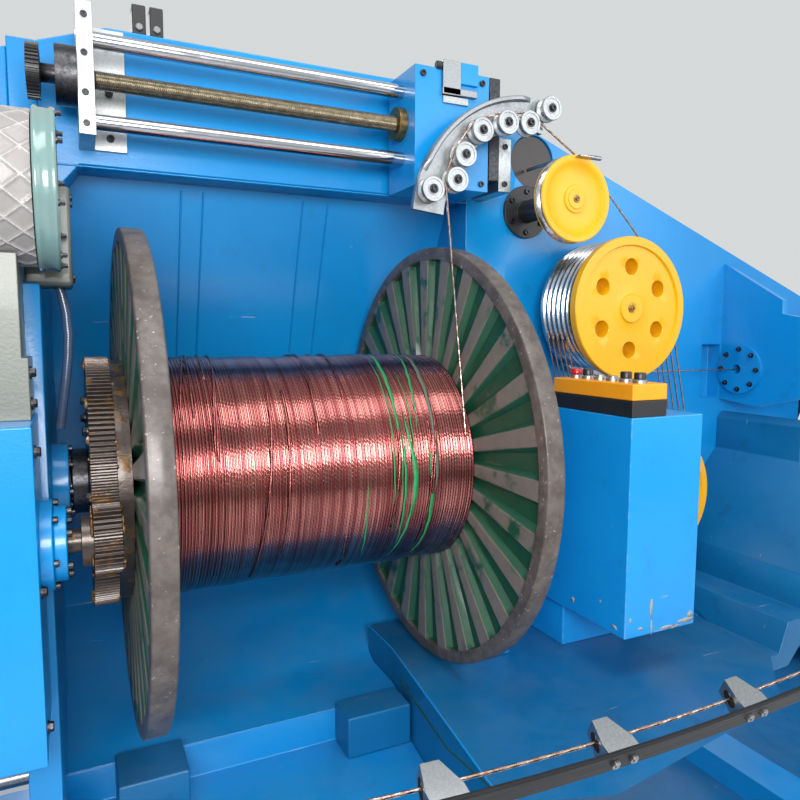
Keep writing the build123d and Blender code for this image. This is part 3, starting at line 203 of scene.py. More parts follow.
def add_piece(name, finishes, body, stands_for=(), sharp=35, edge=0.0, weld=1e-5):
    """Join parts given as {material: [(points, faces) or (points, faces, uv), ...]} into one piece.

    Seams and poles are closed, normals turned outwards, and edges flatter than sharp degrees shade smooth.
    """
    points, faces, uvs, numbers, start = [], [], [], [], 0
    for number, parts in enumerate(finishes.values()):
        for part_points, part_faces, *part_uv in parts:
            part_points = np.asarray(part_points, dtype=float).reshape(-1, 3)
            points.append(part_points)
            faces.append(np.asarray(part_faces) + start)
            uvs.append(np.asarray(part_uv[0]).reshape(-1, 2) if part_uv else np.zeros((len(part_points), 2)))
            numbers.append(np.full(len(part_faces), number))
            start += len(part_points)
    mesh = quad_mesh(name, np.concatenate(points), np.concatenate(faces), np.concatenate(uvs))
    mesh.polygons.foreach_set("material_index", np.concatenate(numbers).astype(np.int32))
    shell = bmesh.new()
    shell.from_mesh(mesh)
    bmesh.ops.remove_doubles(shell, verts=shell.verts, dist=weld)
    bmesh.ops.recalc_face_normals(shell, faces=shell.faces)
    shell.to_mesh(mesh)
    shell.free()
    mesh.polygons.foreach_set("use_smooth", np.ones(len(mesh.polygons), dtype=bool))
    mesh.set_sharp_from_angle(angle=radians(sharp))
    for material in finishes:
        mesh.materials.append(material)
    piece = bpy.data.objects.new(name, mesh)
    bpy.context.scene.collection.objects.link(piece)
    if edge:
        round_edges(piece, edge)
    ride_and_slot(piece, body, stands_for)
    return piece


def frame_of(axis):
    """Two unit vectors across an axis, so that first, second and axis are right handed."""
    axis = np.asarray(axis, dtype=float) / np.linalg.norm(axis)
    helper = np.array((0.0, 0.0, 1.0)) if abs(axis[2]) < 0.9 else np.array((1.0, 0.0, 0.0))
    first = np.cross(helper, axis)
    first /= np.linalg.norm(first)
    return first, np.cross(axis, first), axis


def turned(profile, place, axis, segments=48):
    """Profile of (radius, distance along the axis) turned once round the axis through place."""
    profile = np.asarray(profile, dtype=float)
    first, second, along = frame_of(axis)
    angle = np.linspace(0, 2 * pi, segments, endpoint=False)
    ring = np.cos(angle)[:, None] * first + np.sin(angle)[:, None] * second
    points = np.asarray(place) + profile[:, None, 1, None] * along + profile[:, None, 0, None] * ring[None]
    return points, grid_faces(len(profile), segments, False, True)


def drum(radius, length, place, axis, bevel=0.002, segments=48):
    """Turned cylinder with small slopes at both ends."""
    profile = [(0, 0), (radius - bevel, 0), (radius, bevel), (radius, length - bevel), (radius - bevel, length),
               (0, length)]
    return turned(profile, place, axis, segments)


def block(low, high):
    """Straight block: each corner takes its x, y and z from the low or the high corner."""
    pick = np.array(np.meshgrid((0, 1), (0, 1), (0, 1), indexing="ij")).reshape(3, -1).T
    faces = [(0, 1, 3, 2), (4, 6, 7, 5), (0, 4, 5, 1), (2, 3, 7, 6), (0, 2, 6, 4), (1, 5, 7, 3)]
    return np.where(pick, high, low), np.array(faces)


def slab(outline, thickness):
    """Plate between an outline of 3-D points and its copy moved by thickness, with both ends closed."""
    outline = np.asarray(outline, dtype=float)
    low = np.broadcast_to(outline.mean(0), outline.shape)
    rows = np.stack([low, outline, outline + thickness, low + thickness])
    return rows, grid_faces(4, len(outline), False, True)


def hex_bolt(place, axis, width=0.019, height=0.012):
    """Bolt seen from outside: a washer and a six-sided head with a chamfer."""
    washer = turned([(0, 0), (width * 0.75, 0), (width * 0.75, 0.003), (0, 0.003)], place, axis, 16)
    head = turned([(0, 0.003), (width * 0.577, 0.003), (width * 0.577, height - 0.002), (width * 0.48, height),
                   (0, height)], place, axis, 6)
    return [washer, head]


def socket_bolt(place, axis, radius=0.009, height=0.009):
    """Round head with a six-sided socket: outer wall, flat top, and a ring of points drawn in and down."""
    head = turned([(0, 0), (radius, 0), (radius, height - 0.001), (radius - 0.001, height),
                   (radius * 0.55, height)],
                  place, axis, 18)
    socket = turned([(radius * 0.55, height), (radius * 0.5, height * 0.4), (0, height * 0.4)], place, axis, 18)
    return [head, socket]


def laid_strand(corners, side, radius=0.0031, lay=0.034, lobes=5, around=20, step=0.005, depth=0.10):
    """Twisted strand: round each path point runs radius * (1 - 0.8 depth + depth cos(lobes angle - turn)).

    The turn grows by a full circle every lay length. Side lies across the path, and the cross-section
    shrinks to a point at both ends, so that the tube is closed.
    """
    corners = np.asarray(corners, dtype=float)
    length = np.concatenate([[0], np.cumsum(np.linalg.norm(np.diff(corners, axis=0), axis=1))])
    travel = np.linspace(0, length[-1], max(int(length[-1] / step), 2) + 1)
    path = np.stack([np.interp(travel, length, corners[:, axis]) for axis in range(3)], axis=1)
    tangent = np.gradient(path, axis=0)
    tangent /= np.linalg.norm(tangent, axis=1)[:, None]
    first = np.asarray(side) - (tangent @ np.asarray(side))[:, None] * tangent
    first /= np.linalg.norm(first, axis=1)[:, None]
    second = np.cross(tangent, first)
    angle = np.linspace(0, 2 * pi, around + 1)
    turn = 2 * pi * travel[:, None] / lay
    reach = radius * (1 - 0.8 * depth + depth * np.cos(lobes * angle[None, :] - turn))
    reach[[0, -1]] = 0
    points = (path[:, None] + (reach * np.cos(angle))[..., None] * first[:, None]
              + (reach * np.sin(angle))[..., None] * second[:, None])
    uv = np.stack(np.broadcast_arrays(travel[:, None] / lay, angle[None, :] / (2 * pi)), axis=-1)
    return points, grid_faces(len(travel), around + 1), uv


def round_x(x, radius, angle, centre):
    """Points at a radius and an angle round an axis along x: y grows with the cosine and z with the sine."""
    return np.stack(np.broadcast_arrays(x, centre[1] + radius * np.cos(angle), centre[2] + radius * np.sin(angle)),
                    axis=-1)


print("helpers ready")

# %% [markdown]
# ## Shared effects as node groups
# Many finishes share an effect: paint is thin on edges, dust lies on what faces up, stains come in
# clouds. Each effect is one node group, built once. It puts out a mask or a height, and every
# material mixes it in with its own colours.


# %% Group helpers
def new_group(name, inputs, output):
    """Shader group with a vector and float sockets and one float output."""
    tree = bpy.data.node_groups.new(name, "ShaderNodeTree")
    tree.interface.new_socket("Vector", in_out="INPUT", socket_type="NodeSocketVector")
    for socket, value in inputs.items():
        tree.interface.new_socket(socket, in_out="INPUT", socket_type="NodeSocketFloat").default_value = value
    tree.interface.new_socket(output, in_out="OUTPUT", socket_type="NodeSocketFloat")
    return tree, tree.nodes.new("NodeGroupInput").outputs, tree.nodes.new("NodeGroupOutput").inputs[0]


def use_group(tree, group, **inputs):
    """Place a group in a material with its own values and give its output."""
    node = tree.nodes.new("ShaderNodeGroup")
    node.node_tree = group
    for socket, value in inputs.items():
        if isinstance(value, bpy.types.NodeSocket):
            tree.links.new(value, node.inputs[socket])
        else:
            node.inputs[socket].default_value = value
    return node.outputs[0]


# %% Stain clouds, worn edges, settled dust, paint waviness
clouds, given, result = new_group("stain clouds", {"Scale": 4.0, "Low": 0.45, "High": 0.65}, "Mask")
cloud_noise = noise(clouds, given["Vector"], given["Scale"], 6.0, 0.62)
clouds.links.new(ramp(clouds, cloud_noise, given["Low"], given["High"]), result)

worn_edges, given, result = new_group("worn edges", {"Radius": 0.004, "Spread": 0.5}, "Mask")
bent_normal = wire(worn_edges, "ShaderNodeBevel", {"Radius": given["Radius"]}, samples=4)
flat_normal = wire(worn_edges, "ShaderNodeNewGeometry", output="Normal")
likeness = wire(worn_edges, "ShaderNodeVectorMath", {0: bent_normal, 1: flat_normal}, "Value",
                operation="DOT_PRODUCT")
break_up = calculate(worn_edges, "ADD", noise(worn_edges, given["Vector"], 38.0, 5.0, 0.7), given["Spread"])
worn_edges.links.new(calculate(worn_edges, "MULTIPLY", ramp(worn_edges, likeness, 0.995, 0.90),
                               ramp(worn_edges, break_up, 0.92, 1.06), True), result)

settled_dust, given, result = new_group("settled dust", {"Amount": 0.5}, "Mask")
upward = wire(settled_dust, "ShaderNodeSeparateXYZ",
              {0: wire(settled_dust, "ShaderNodeNewGeometry", output="Normal")}, "Z")
lying = calculate(settled_dust, "MULTIPLY", ramp(settled_dust, upward, 0.55, 0.98),
                  ramp(settled_dust, noise(settled_dust, given["Vector"], 7.0, 7.0, 0.65), 0.30, 0.75))
settled_dust.links.new(calculate(settled_dust, "MULTIPLY", lying, given["Amount"], True), result)

wavy_paint, given, result = new_group("paint waviness", {"Peel": 0.25}, "Height")
peel = calculate(wavy_paint, "MULTIPLY", noise(wavy_paint, given["Vector"], 160.0, 2.0), given["Peel"])
wavy_paint.links.new(calculate(wavy_paint, "ADD", noise(wavy_paint, given["Vector"], 5.0, 1.0), peel), result)
print("groups:", [group.name for group in bpy.data.node_groups])

# %% [markdown]
# ## Finishes
# Each finish starts from the same skeleton: a Principled shader, object coordinates, a colour, a
# roughness and a bump. Plain values are typed into the shader's own sockets, and only what changes
# over the surface is linked.


# %% Finish skeleton
def new_finish(name, metallic=0.0, coat=0.0, specular=0.5, coordinates="Object"):
    """Material with a Principled shader; returns the material, its tree, the shader and the coordinates."""
    material = bpy.data.materials.new(name)
    material.use_nodes = True
    tree = material.node_tree
    tree.nodes.clear()
    shader = tree.nodes.new("ShaderNodeBsdfPrincipled")
    shader.inputs["Metallic"].default_value = metallic
    shader.inputs["Coat Weight"].default_value = coat
    shader.inputs["Coat Roughness"].default_value = 0.08
    shader.inputs["Specular IOR Level"].default_value = specular
    surface_output = tree.nodes.new("ShaderNodeOutputMaterial")
    tree.links.new(shader.outputs[0], surface_output.inputs["Surface"])
    return material, tree, shader, wire(tree, "ShaderNodeTexCoord", output=coordinates)


def give(tree, shader, colour, roughness, height=None, depth=0.001, strength=0.5):
    """Link colour, roughness and a bump from a height into the shader."""
    tree.links.new(colour, shader.inputs["Base Color"])
    tree.links.new(roughness, shader.inputs["Roughness"])
    if height is not None:
        normal = wire(tree, "ShaderNodeBump", {"Height": height, "Distance": depth, "Strength": strength}, "Normal")
        tree.links.new(normal, shader.inputs["Normal"])


def speckled(name, first, second, spots, gloss_spots, gloss, bump_spots=None, depth=0.001, **look):
    """Finish where one noise mixes two colours, a second sets the roughness and a third, if given, the bump."""
    material, tree, shader, place = new_finish(name, **look)
    height = noise(tree, place, *bump_spots) if bump_spots else None
    give(tree, shader, mix_colour(tree, noise(tree, place, *spots), (*first, 1), (*second, 1)),
         ramp(tree, noise(tree, place, *gloss_spots), *gloss), height, depth)
    return material


# %% Paints
def painted(name, colour, shade, roughness=0.28, worn=(0.50, 0.53, 0.53), dust=0.30, spread=0.30, peel=0.25,
            wave=0.004, coat=0.2, dirt_share=0.35, dust_colour=(0.30, 0.36, 0.40)):
    """Gloss paint: soft clouds of a second shade, grime, dust on top faces, worn edges, a wavy peeled surface."""
    material, tree, shader, place = new_finish(name, coat=coat)
    clouded = mix_colour(tree, use_group(tree, clouds, Vector=place, Scale=1.7, Low=0.30, High=0.75),
                         (*colour, 1), (*shade, 1))
    dirt = use_group(tree, clouds, Vector=place, Scale=11.0, Low=0.58, High=0.82)
    grime = (*[value * 0.35 for value in shade], 1)
    dirty = mix_colour(tree, calculate(tree, "MULTIPLY", dirt, dirt_share), clouded, grime)
    scratch_place = wire(tree, "ShaderNodeMapping",
                         {"Vector": place, "Rotation": (0.4, 0.3, 0.6), "Scale": (3, 60, 14)})
    scratch = ramp(tree, noise(tree, scratch_place, 2.0, 3.0, 0.5), 0.735, 0.76)
    scratched = mix_colour(tree, calculate(tree, "MULTIPLY", scratch, 0.35), dirty, (*worn, 1))
    lying = use_group(tree, settled_dust, Vector=place, Amount=dust)
    dusty = mix_colour(tree, lying, scratched, (*dust_colour, 1))
    edges = use_group(tree, worn_edges, Vector=place, Radius=0.004, Spread=spread)
    rough = calculate(tree, "ADD", calculate(tree, "MULTIPLY", lying, 0.5), ramp(tree, dirt, 0.0, 1.0, roughness,
                                                                                   roughness + 0.16))
    give(tree, shader, mix_colour(tree, edges, dusty, (*worn, 1)), rough,
         use_group(tree, wavy_paint, Vector=place, Peel=peel), wave, 0.3)
    return material


BLUE, DEEP_BLUE = (0.003, 0.255, 0.62), (0.002, 0.215, 0.55)
blue_paint = painted("gloss blue paint", BLUE, DEEP_BLUE, coat=0.1, dust=0.08, spread=0.22)
# Painted shade: the deck, trough, hull and drip tray take the blue paint darkened to about half, with more dirt.
shade_darkened_blue = painted("blue paint darkened for painted shade", (0.003, 0.135, 0.33), (0.002, 0.105, 0.26), 0.34, coat=0.0, dust=0.08,
                    dirt_share=0.5)
chipped_blue = painted("chipped cabinet paint", (0.006, 0.30, 0.74), (0.004, 0.26, 0.68), worn=(0.50, 0.47, 0.40),
                       dust=0.10, spread=0.47)
grey_green_paint = painted("grey green hammered paint", (0.175, 0.192, 0.165), (0.13, 0.145, 0.125), 0.40,
                           worn=(0.14, 0.14, 0.11), peel=0.9, wave=0.002)
ring_paint = painted("pale green ring paint", (0.17, 0.28, 0.27), (0.14, 0.24, 0.23), 0.20, worn=(0.4, 0.45, 0.43),
                     coat=0.6)
yellow_paint = painted("yellow paint", (0.78, 0.41, 0.0), (0.70, 0.34, 0.0), 0.30, coat=0.0,
                       worn=(0.30, 0.18, 0.04), dust=0.05, spread=0.26, dirt_share=0.25)
black_paint = painted("black satin paint", (0.018, 0.018, 0.020), (0.010, 0.010, 0.011), 0.42,
                      worn=(0.20, 0.19, 0.18), coat=0.1, dust=0.15, dust_colour=(0.10, 0.10, 0.10))
orange_plastic = painted("orange plastic", (0.92, 0.36, 0.008), (0.88, 0.31, 0.006), 0.35, worn=(0.95, 0.42, 0.10),
                         dust=0.1, spread=0.15, coat=0.1, dirt_share=0.15)
red_plastic = painted("red button plastic", (0.55, 0.008, 0.008), (0.42, 0.005, 0.005), 0.25, worn=(0.6, 0.1, 0.08),
                      dust=0.05)
print("paints: 9")


# %% Metals
OIL_STAIN = (0.10, 0.08, 0.06, 1)


def metal(name, colour, shade, roughness, stretch=(1, 1, 1), scale=120.0, depth=0.0004, stains=0.2):
    """Bare metal: tool marks as noise stretched along one axis, and a cloud of oil or tarnish."""
    material, tree, shader, place = new_finish(name, metallic=1.0)
    stretched = wire(tree, "ShaderNodeMapping", {"Vector": place, "Scale": stretch})
    marks = noise(tree, stretched, scale, 4.0, 0.7)
    toned = mix_colour(tree, ramp(tree, marks, 0.3, 0.7), (*colour, 1), (*shade, 1))
    oil = use_group(tree, clouds, Vector=place, Scale=14.0, Low=0.5, High=0.78)
    stained = mix_colour(tree, calculate(tree, "MULTIPLY", oil, stains), toned, OIL_STAIN)
    rough = ramp(tree, calculate(tree, "ADD", marks, calculate(tree, "MULTIPLY", oil, 0.5)), 0.2, 1.2,
                 roughness, roughness + 0.25)
    give(tree, shader, stained, rough, marks, depth, 0.4)
    return material


bright_rod = metal("bright rod", (0.62, 0.63, 0.66), (0.48, 0.49, 0.53), 0.07, (0.05, 1, 1), 90.0, 0.0001)
turned_steel = metal("turned steel", (0.42, 0.42, 0.43), (0.28, 0.28, 0.29), 0.24)
dark_steel = metal("dark steel", (0.09, 0.09, 0.10), (0.04, 0.04, 0.045), 0.32)
cast_aluminium = metal("cast aluminium", (0.42, 0.44, 0.455), (0.31, 0.33, 0.345), 0.36, scale=240.0, depth=0.0006)
machined_aluminium = metal("machined aluminium", (0.50, 0.52, 0.525), (0.40, 0.42, 0.43), 0.34, scale=150.0)
thread_steel = metal("oiled thread steel", (0.32, 0.28, 0.20), (0.17, 0.14, 0.09), 0.30, scale=60.0, stains=0.4)
bronze = metal("oiled bronze", (0.36, 0.23, 0.09), (0.18, 0.11, 0.04), 0.32, scale=80.0)
mirror_drum = metal("polished drum", (0.62, 0.63, 0.66), (0.38, 0.39, 0.42), 0.12, (9, 0.6, 9), 14.0, 0.0003)
print("metals: 8")

# %% Greased gear steel: brown grease sits in patches over dark teeth
greased_gear, tree, shader, place = new_finish("greased gear steel", metallic=0.7, coat=0.3)
grease = use_group(tree, clouds, Vector=place, Scale=16.0, Low=0.52, High=0.66)
tooth_tone = mix_colour(tree, noise(tree, place, 70.0), (0.105, 0.080, 0.068, 1), (0.035, 0.027, 0.023, 1))
give(tree, shader, mix_colour(tree, grease, tooth_tone, (0.19, 0.095, 0.028, 1)),
     ramp(tree, grease, 0, 1, 0.34, 0.6),
     calculate(tree, "ADD", noise(tree, place, 90.0), calculate(tree, "MULTIPLY", grease, 1.5)), 0.0015)

# %% Rubber and the black band of the bows
GRAIN = (140.0, 3.0)
rubber = speckled("belt rubber", (0.012, 0.012, 0.012), (0.05, 0.05, 0.048), GRAIN, GRAIN,
                  (0.2, 0.8, 0.55, 0.8), GRAIN, 0.0006, specular=0.3)
band_black, tree, shader, place = new_finish("black bow band", specular=0.25)
fibres = noise(tree, wire(tree, "ShaderNodeMapping", {"Vector": place, "Scale": (4, 220, 220)}), 1.0)
give(tree, shader, mix_colour(tree, fibres, (0.003, 0.003, 0.0035, 1), (0.014, 0.014, 0.016, 1)),
     ramp(tree, fibres, 0.2, 0.8, 0.30, 0.5), fibres, 0.0005)
print("soft and black finishes ready")

# %% [markdown]
# ## Plain plates, housings and castings
# A welded or cast piece has the shape that the frame gives it, but its edges are never razor
# sharp. Each node is copied, its loose triangles are merged into flat faces, and a Bevel modifier
# rounds the edges by a few millimetres. The copy stands for the node and takes its finish.


# %% Rounded copy of a frame node
def rounded(node, material, edge_width=0.003):
    """Copy of a node with merged corners, flat faces joined, and its sharp edges rounded."""
    mesh = nodes[node].data.copy()
    shell = bmesh.new()
    shell.from_mesh(mesh)
    bmesh.ops.remove_doubles(shell, verts=shell.verts, dist=2e-5)
    bmesh.ops.dissolve_limit(shell, angle_limit=radians(0.5), verts=shell.verts, edges=shell.edges)
    shell.to_mesh(mesh)
    shell.free()
    mesh.materials.clear()
    mesh.materials.append(material)
    mesh.polygons.foreach_set("use_smooth", np.ones(len(mesh.polygons), dtype=bool))
    mesh.set_sharp_from_angle(angle=radians(32))
    piece = bpy.data.objects.new(f"{node}_skin", mesh)
    bpy.context.scene.collection.objects.link(piece)
    round_edges(piece, edge_width)
    ride_and_slot(piece, body_of_node[node], [node])


# %% Which finish each node takes, and how far its edges are rounded
skins = {
    "base_frame": (blue_paint, 0.006), "left_headstock": (blue_paint, 0.008),
    "right_headstock": (blue_paint, 0.008),
    "left_flyer": (blue_paint, 0.006), "right_flyer": (blue_paint, 0.006), "main_motor": (grey_green_paint, 0.008),
    "rear_wall": (blue_paint, 0.004), "trough_blocks": (shade_darkened_blue, 0.006), "top_beam": (blue_paint, 0.005),
    "left_bulkhead": (blue_paint, 0.005), "left_side_member": (blue_paint, 0.005), "deck": (shade_darkened_blue, 0.006),
    "right_side_member": (blue_paint, 0.005), "hull": (shade_darkened_blue, 0.006), "left_nose": (blue_paint, 0.004),
    "right_nose": (blue_paint, 0.004), "drive_box": (blue_paint, 0.006),
    "take_up_gearbox": (grey_green_paint, 0.010),
    "terminal_box": (grey_green_paint, 0.008), "tailstock": (blue_paint, 0.006), "cabinet": (chipped_blue, 0.004),
    "carriage": (blue_paint, 0.004), "limit_switches": (black_paint, 0.003),
    "traverse_brackets": (machined_aluminium, 0.0015), "screw_bearings": (dark_steel, 0.002),
    "arc_guide": (cast_aluminium, 0.003), "wheel_mount": (black_paint, 0.002), "line_shaft": (turned_steel, 0.002),
    "pintles": (dark_steel, 0.003), "drive_belts": (rubber, 0.001), "bow_with_strand": (band_black, 0.003),
    "balance_bow": (band_black, 0.003), "turn_wheels": (turned_steel, 0.003), "screw_nut": (bronze, 0.002),
    "reel_gear": (greased_gear, 0.0008), "pinion": (greased_gear, 0.0008), "traverse_rods": (bright_rod, 0.001),
}
for node, (finish, width) in skins.items():
    rounded(node, finish, width)
print("rounded copies:", len(skins))

# %% [markdown]
# ## The winding
# The reel is wound with a copper strand: 108 turns lie side by side, 7.5 mm apart. A picture on a
# smooth drum would look flat, so the surface itself is worked out: across each turn it is a round
# back, with a sharp valley between neighbours. Every turn wanders a little, some lie higher, and
# the fine twist of the wires is left to a bump that follows the turns, with painted shade in the grooves.

# %% Copper strand finish: it reads u along the turns and v across them
copper, tree, shader, place = new_finish("wound copper", metallic=1.0, coat=0.3, coordinates="UV")
turns_place = wire(tree, "ShaderNodeTexCoord", output="Object")
along, across = (wire(tree, "ShaderNodeSeparateXYZ", {0: place}, axis) for axis in ("X", "Y"))
WIRES_ROUND = 173.0
wires = calculate(tree, "ADD", calculate(tree, "MULTIPLY", along, WIRES_ROUND), across)
turn_tone = wire(tree, "ShaderNodeTexWhiteNoise", {"W": wire(tree, "ShaderNodeMath", {0: across},
                                                             operation="FLOOR")},
                 "Value", noise_dimensions="1D")
wires = calculate(tree, "ADD", wires, calculate(tree, "MULTIPLY", turn_tone, 7.0))
wire_height = calculate(tree, "SINE", calculate(tree, "MULTIPLY", wires, 2 * pi))
patches = use_group(tree, clouds, Vector=turns_place, Scale=5.0, Low=0.40, High=0.70)
fresh = mix_colour(tree, turn_tone, (0.58, 0.22, 0.19, 1), (0.26, 0.050, 0.052, 1))
aged = mix_colour(tree, calculate(tree, "MULTIPLY", patches, 0.45), fresh, (0.11, 0.018, 0.026, 1))
# Painted shade: the copper is darkened in the grooves between the twisted wires.
groove_shaded = mix_colour(tree, ramp(tree, wire_height, -1.0, 0.1, 0.35, 0.0), aged, (0.10, 0.018, 0.015, 1))
give(tree, shader, groove_shaded, ramp(tree, turn_tone, 0, 1, 0.13, 0.26), wire_height, 0.0002, 0.25)

# %% Winding surface
TURN_COUNT, TURN_STEPS, TURN_AROUND = 108, 6, 148
REEL_CENTRE = np.array((0.0, -0.080, 1.353))
WINDING_LEFT, WINDING_LENGTH, WINDING_RADIUS, CORE_RADIUS = -0.699, 0.812, 0.3025, 0.041


def on_winding(x, angle, radius):
    """Point beside the reel's axis: x along it, angle 0 towards the front and growing upwards."""
    return np.stack(np.broadcast_arrays(x, REEL_CENTRE[1] - radius * np.cos(angle),
                                        REEL_CENTRE[2] + radius * np.sin(angle)),
                    axis=-1)


def wandering(count, angle, harmonics, size, seed):
    """For each of count turns, a sum of sines of the angle with its own random sizes and phases."""
    random = np.random.default_rng(seed)
    order = np.arange(1, harmonics + 1)
    sizes = random.normal(0, size, (count, harmonics)) / order
    phases = random.uniform(0, 2 * pi, (count, harmonics))
    return np.sum(sizes[:, :, None] * np.sin(order[None, :, None] * angle + phases[:, :, None]), axis=1)


pitch = WINDING_LENGTH / TURN_COUNT
angle = np.linspace(0, 2 * pi, TURN_AROUND + 1)
sideways = wandering(TURN_COUNT + 1, angle, 5, 0.00075, 3)
sideways[[0, -1]] = 0
rise = wandering(TURN_COUNT + 1, angle, 4, 0.00045, 5)
row = np.arange(TURN_COUNT * TURN_STEPS + 1)
turn, phase = row // TURN_STEPS, (row % TURN_STEPS) / TURN_STEPS
following = np.minimum(turn + 1, TURN_COUNT)
blend_share = phase[:, None]
shift = sideways[turn] * (1 - blend_share) + sideways[following] * blend_share
back = pitch / 2 * np.sqrt(np.maximum(1 - (2 * phase - 1) ** 2, 0))
turn_place = (row / TURN_STEPS)[:, None]
swell = 0.0018 * np.sin(turn_place * 0.31) * np.cos(angle + 0.7) + 0.0012 * np.sin(turn_place * 0.09 + 1)
radius = WINDING_RADIUS + back[:, None] + rise[np.minimum(turn, TURN_COUNT)] + swell
winding_x = WINDING_LEFT + turn_place * pitch + shift
winding_points = on_winding(winding_x, angle[None, :], radius)
winding_uv = np.stack(np.broadcast_arrays(angle[None, :] / (2 * pi), turn_place), axis=-1)
core_ring = on_winding(winding_x[[0, -1]], angle[None, :], CORE_RADIUS)
winding_points = np.concatenate([core_ring[:1], winding_points, core_ring[1:]])
winding_uv = np.pad(winding_uv, ((1, 1), (0, 0), (0, 0)), "edge")
add_piece("wound_package", {copper: [(winding_points, grid_faces(len(row) + 2, TURN_AROUND + 1), winding_uv)]},
          "reel", ["wound_strand"], sharp=180)
print("winding:", len(row), "by", TURN_AROUND, "points")

# %% [markdown]
# ## Loose turns and green tapes
# On top of the even winding a few turns cross over their neighbours, and green tapes that marked
# the strand were wound in with it. Both are paths given as a place along the axis and an angle.

# %% Crossing strands and a bent end
strand_metal, tree, shader, place = new_finish("bright strand", metallic=1.0)
strand_spots = noise(tree, place, 130.0, 3.0)
give(tree, shader, mix_colour(tree, ramp(tree, strand_spots, 0.42, 0.6), (0.56, 0.45, 0.40, 1),
                              (0.34, 0.20, 0.15, 1)),
     ramp(tree, strand_spots, 0.3, 0.7, 0.2, 0.38), strand_spots, 0.0003)
random = np.random.default_rng(11)
crossing = []
CROSSINGS = 16
for start_x, start_angle, sweep in zip(random.uniform(-0.66, 0.02, CROSSINGS), random.uniform(-1.5, 2.2, CROSSINGS),
                                       random.uniform(0.9, 2.6, CROSSINGS)):
    travel = np.linspace(0, 1, 24)
    path_x = start_x + random.uniform(0.012, 0.05) * (3 * travel ** 2 - 2 * travel ** 3)
    lift = 0.3075 + 0.0022 * np.sin(pi * travel) - 0.006 * (np.abs(2 * travel - 1) > 0.97)
    crossing.append(laid_strand(on_winding(path_x, start_angle + sweep * travel, lift), (1, 0, 0), 0.0034,
                                around=12, step=0.006))
bent_end = on_winding(np.array((-0.245, -0.243, -0.236, -0.233, -0.240)), np.radians((-28, -40, -47, -50, -56)),
                      np.array((0.307, 0.311, 0.314, 0.311, 0.306)))
crossing.append(laid_strand(bent_end, (1, 0, 0), 0.0036, around=12, step=0.006))
add_piece("crossing_turns", {copper: crossing}, "reel", sharp=180)

# %% Green tapes
WEAVE = (60.0, 3.0)
tape_green = speckled("green tape", (0.008, 0.19, 0.055), (0.020, 0.33, 0.10), WEAVE, WEAVE,
                      (0.3, 0.7, 0.3, 0.5), WEAVE, coat=0.2)
tape_grey = speckled("worn tape", (0.06, 0.10, 0.07), (0.12, 0.15, 0.11), WEAVE, (30.0,), (0.3, 0.7, 0.35, 0.6),
                     coat=0.1)
TAPE_LOW, TAPE_HIGH = 0.3065, 0.3082


def tape(stations, width):
    """Thin ribbon on the winding through stations of (x in mm, degrees), with a width in mm at each station."""
    stations = np.asarray(stations, dtype=float)
    travel = np.linspace(0, len(stations) - 1, 60)
    number = np.arange(len(stations))
    x = np.interp(travel, number, stations[:, 0]) / 1000 + 0.0006 * np.sin(travel * 9)
    angles = np.radians(np.interp(travel, number, stations[:, 1]))
    half = np.interp(travel, number, width) / 2000
    edges = [(-half, TAPE_LOW), (-half, TAPE_HIGH), (half, TAPE_HIGH), (half, TAPE_LOW)]
    rows = np.stack([on_winding(x + shift, angles, height) for shift, height in edges])
    rows[:, [0, -1]] = rows.mean(0)[None, [0, -1]]
    return rows, grid_faces(4, len(travel), True, False)


green_tapes = [
    tape([(-60, 95), (-79, 83), (-94, 63), (-103, 39), (-106, 18), (-105, 8), (-104, -10)], [1, 5, 9, 8, 4, 2, 0]),
    tape([(0, 84), (-6, 72), (-24, 57), (-38, 43), (-46, 32), (-52, 20)], [1, 4, 7, 6, 3, 0]),
    tape([(-84, 32), (-78, 18), (-65, 2), (-66, -10), (-74, -24), (-84, -38), (-96, -52)], [0, 8, 14, 13, 8, 4, 0]),
    tape([(-24, 14), (-20, 4), (-15, -8), (-12, -24), (-14, -38), (-24, -52)], [0, 8, 11, 8, 5, 0]),
    tape([(-110, 72), (-119, 50), (-123, 25), (-127, 3), (-122, -12), (-117, -30)], [0, 3, 3, 4, 3, 0]),
    tape([(-200, 0), (-199, -14), (-192, -30), (-184, -46)], [0, 4, 4, 0]),
    tape([(-98, 24), (-96, 12), (-94, -4), (-95, -20), (-91, -40)], [0, 5, 6, 5, 0]),
    tape([(-60, 60), (-62, 40), (-66, 24), (-70, 6)], [0, 3, 3, 0]),
]
worn_tapes = [tape([(26, 84), (19, 69), (8, 54), (-1, 28), (-2, 3), (-7, -10)], [4, 9, 11, 10, 8, 0])]
add_piece("green_tapes", {tape_green: green_tapes, tape_grey: worn_tapes}, "reel", sharp=180)
print("tapes:", len(green_tapes) + len(worn_tapes))

# %% [markdown]
# ## Reel flanges
# Each flange is a pressed plate: 28 radial ribs, as wide as the gaps between them, stand from the
# sheet to the depth of the rim. The whole face is one polar grid, and its depth at radius r and
# angle a is a rounded step of the distance to the nearest rib's middle line. The colour is worn
# from the crests, so the finish reads the height from the UV map: u is the height, v is 1 on the rim.

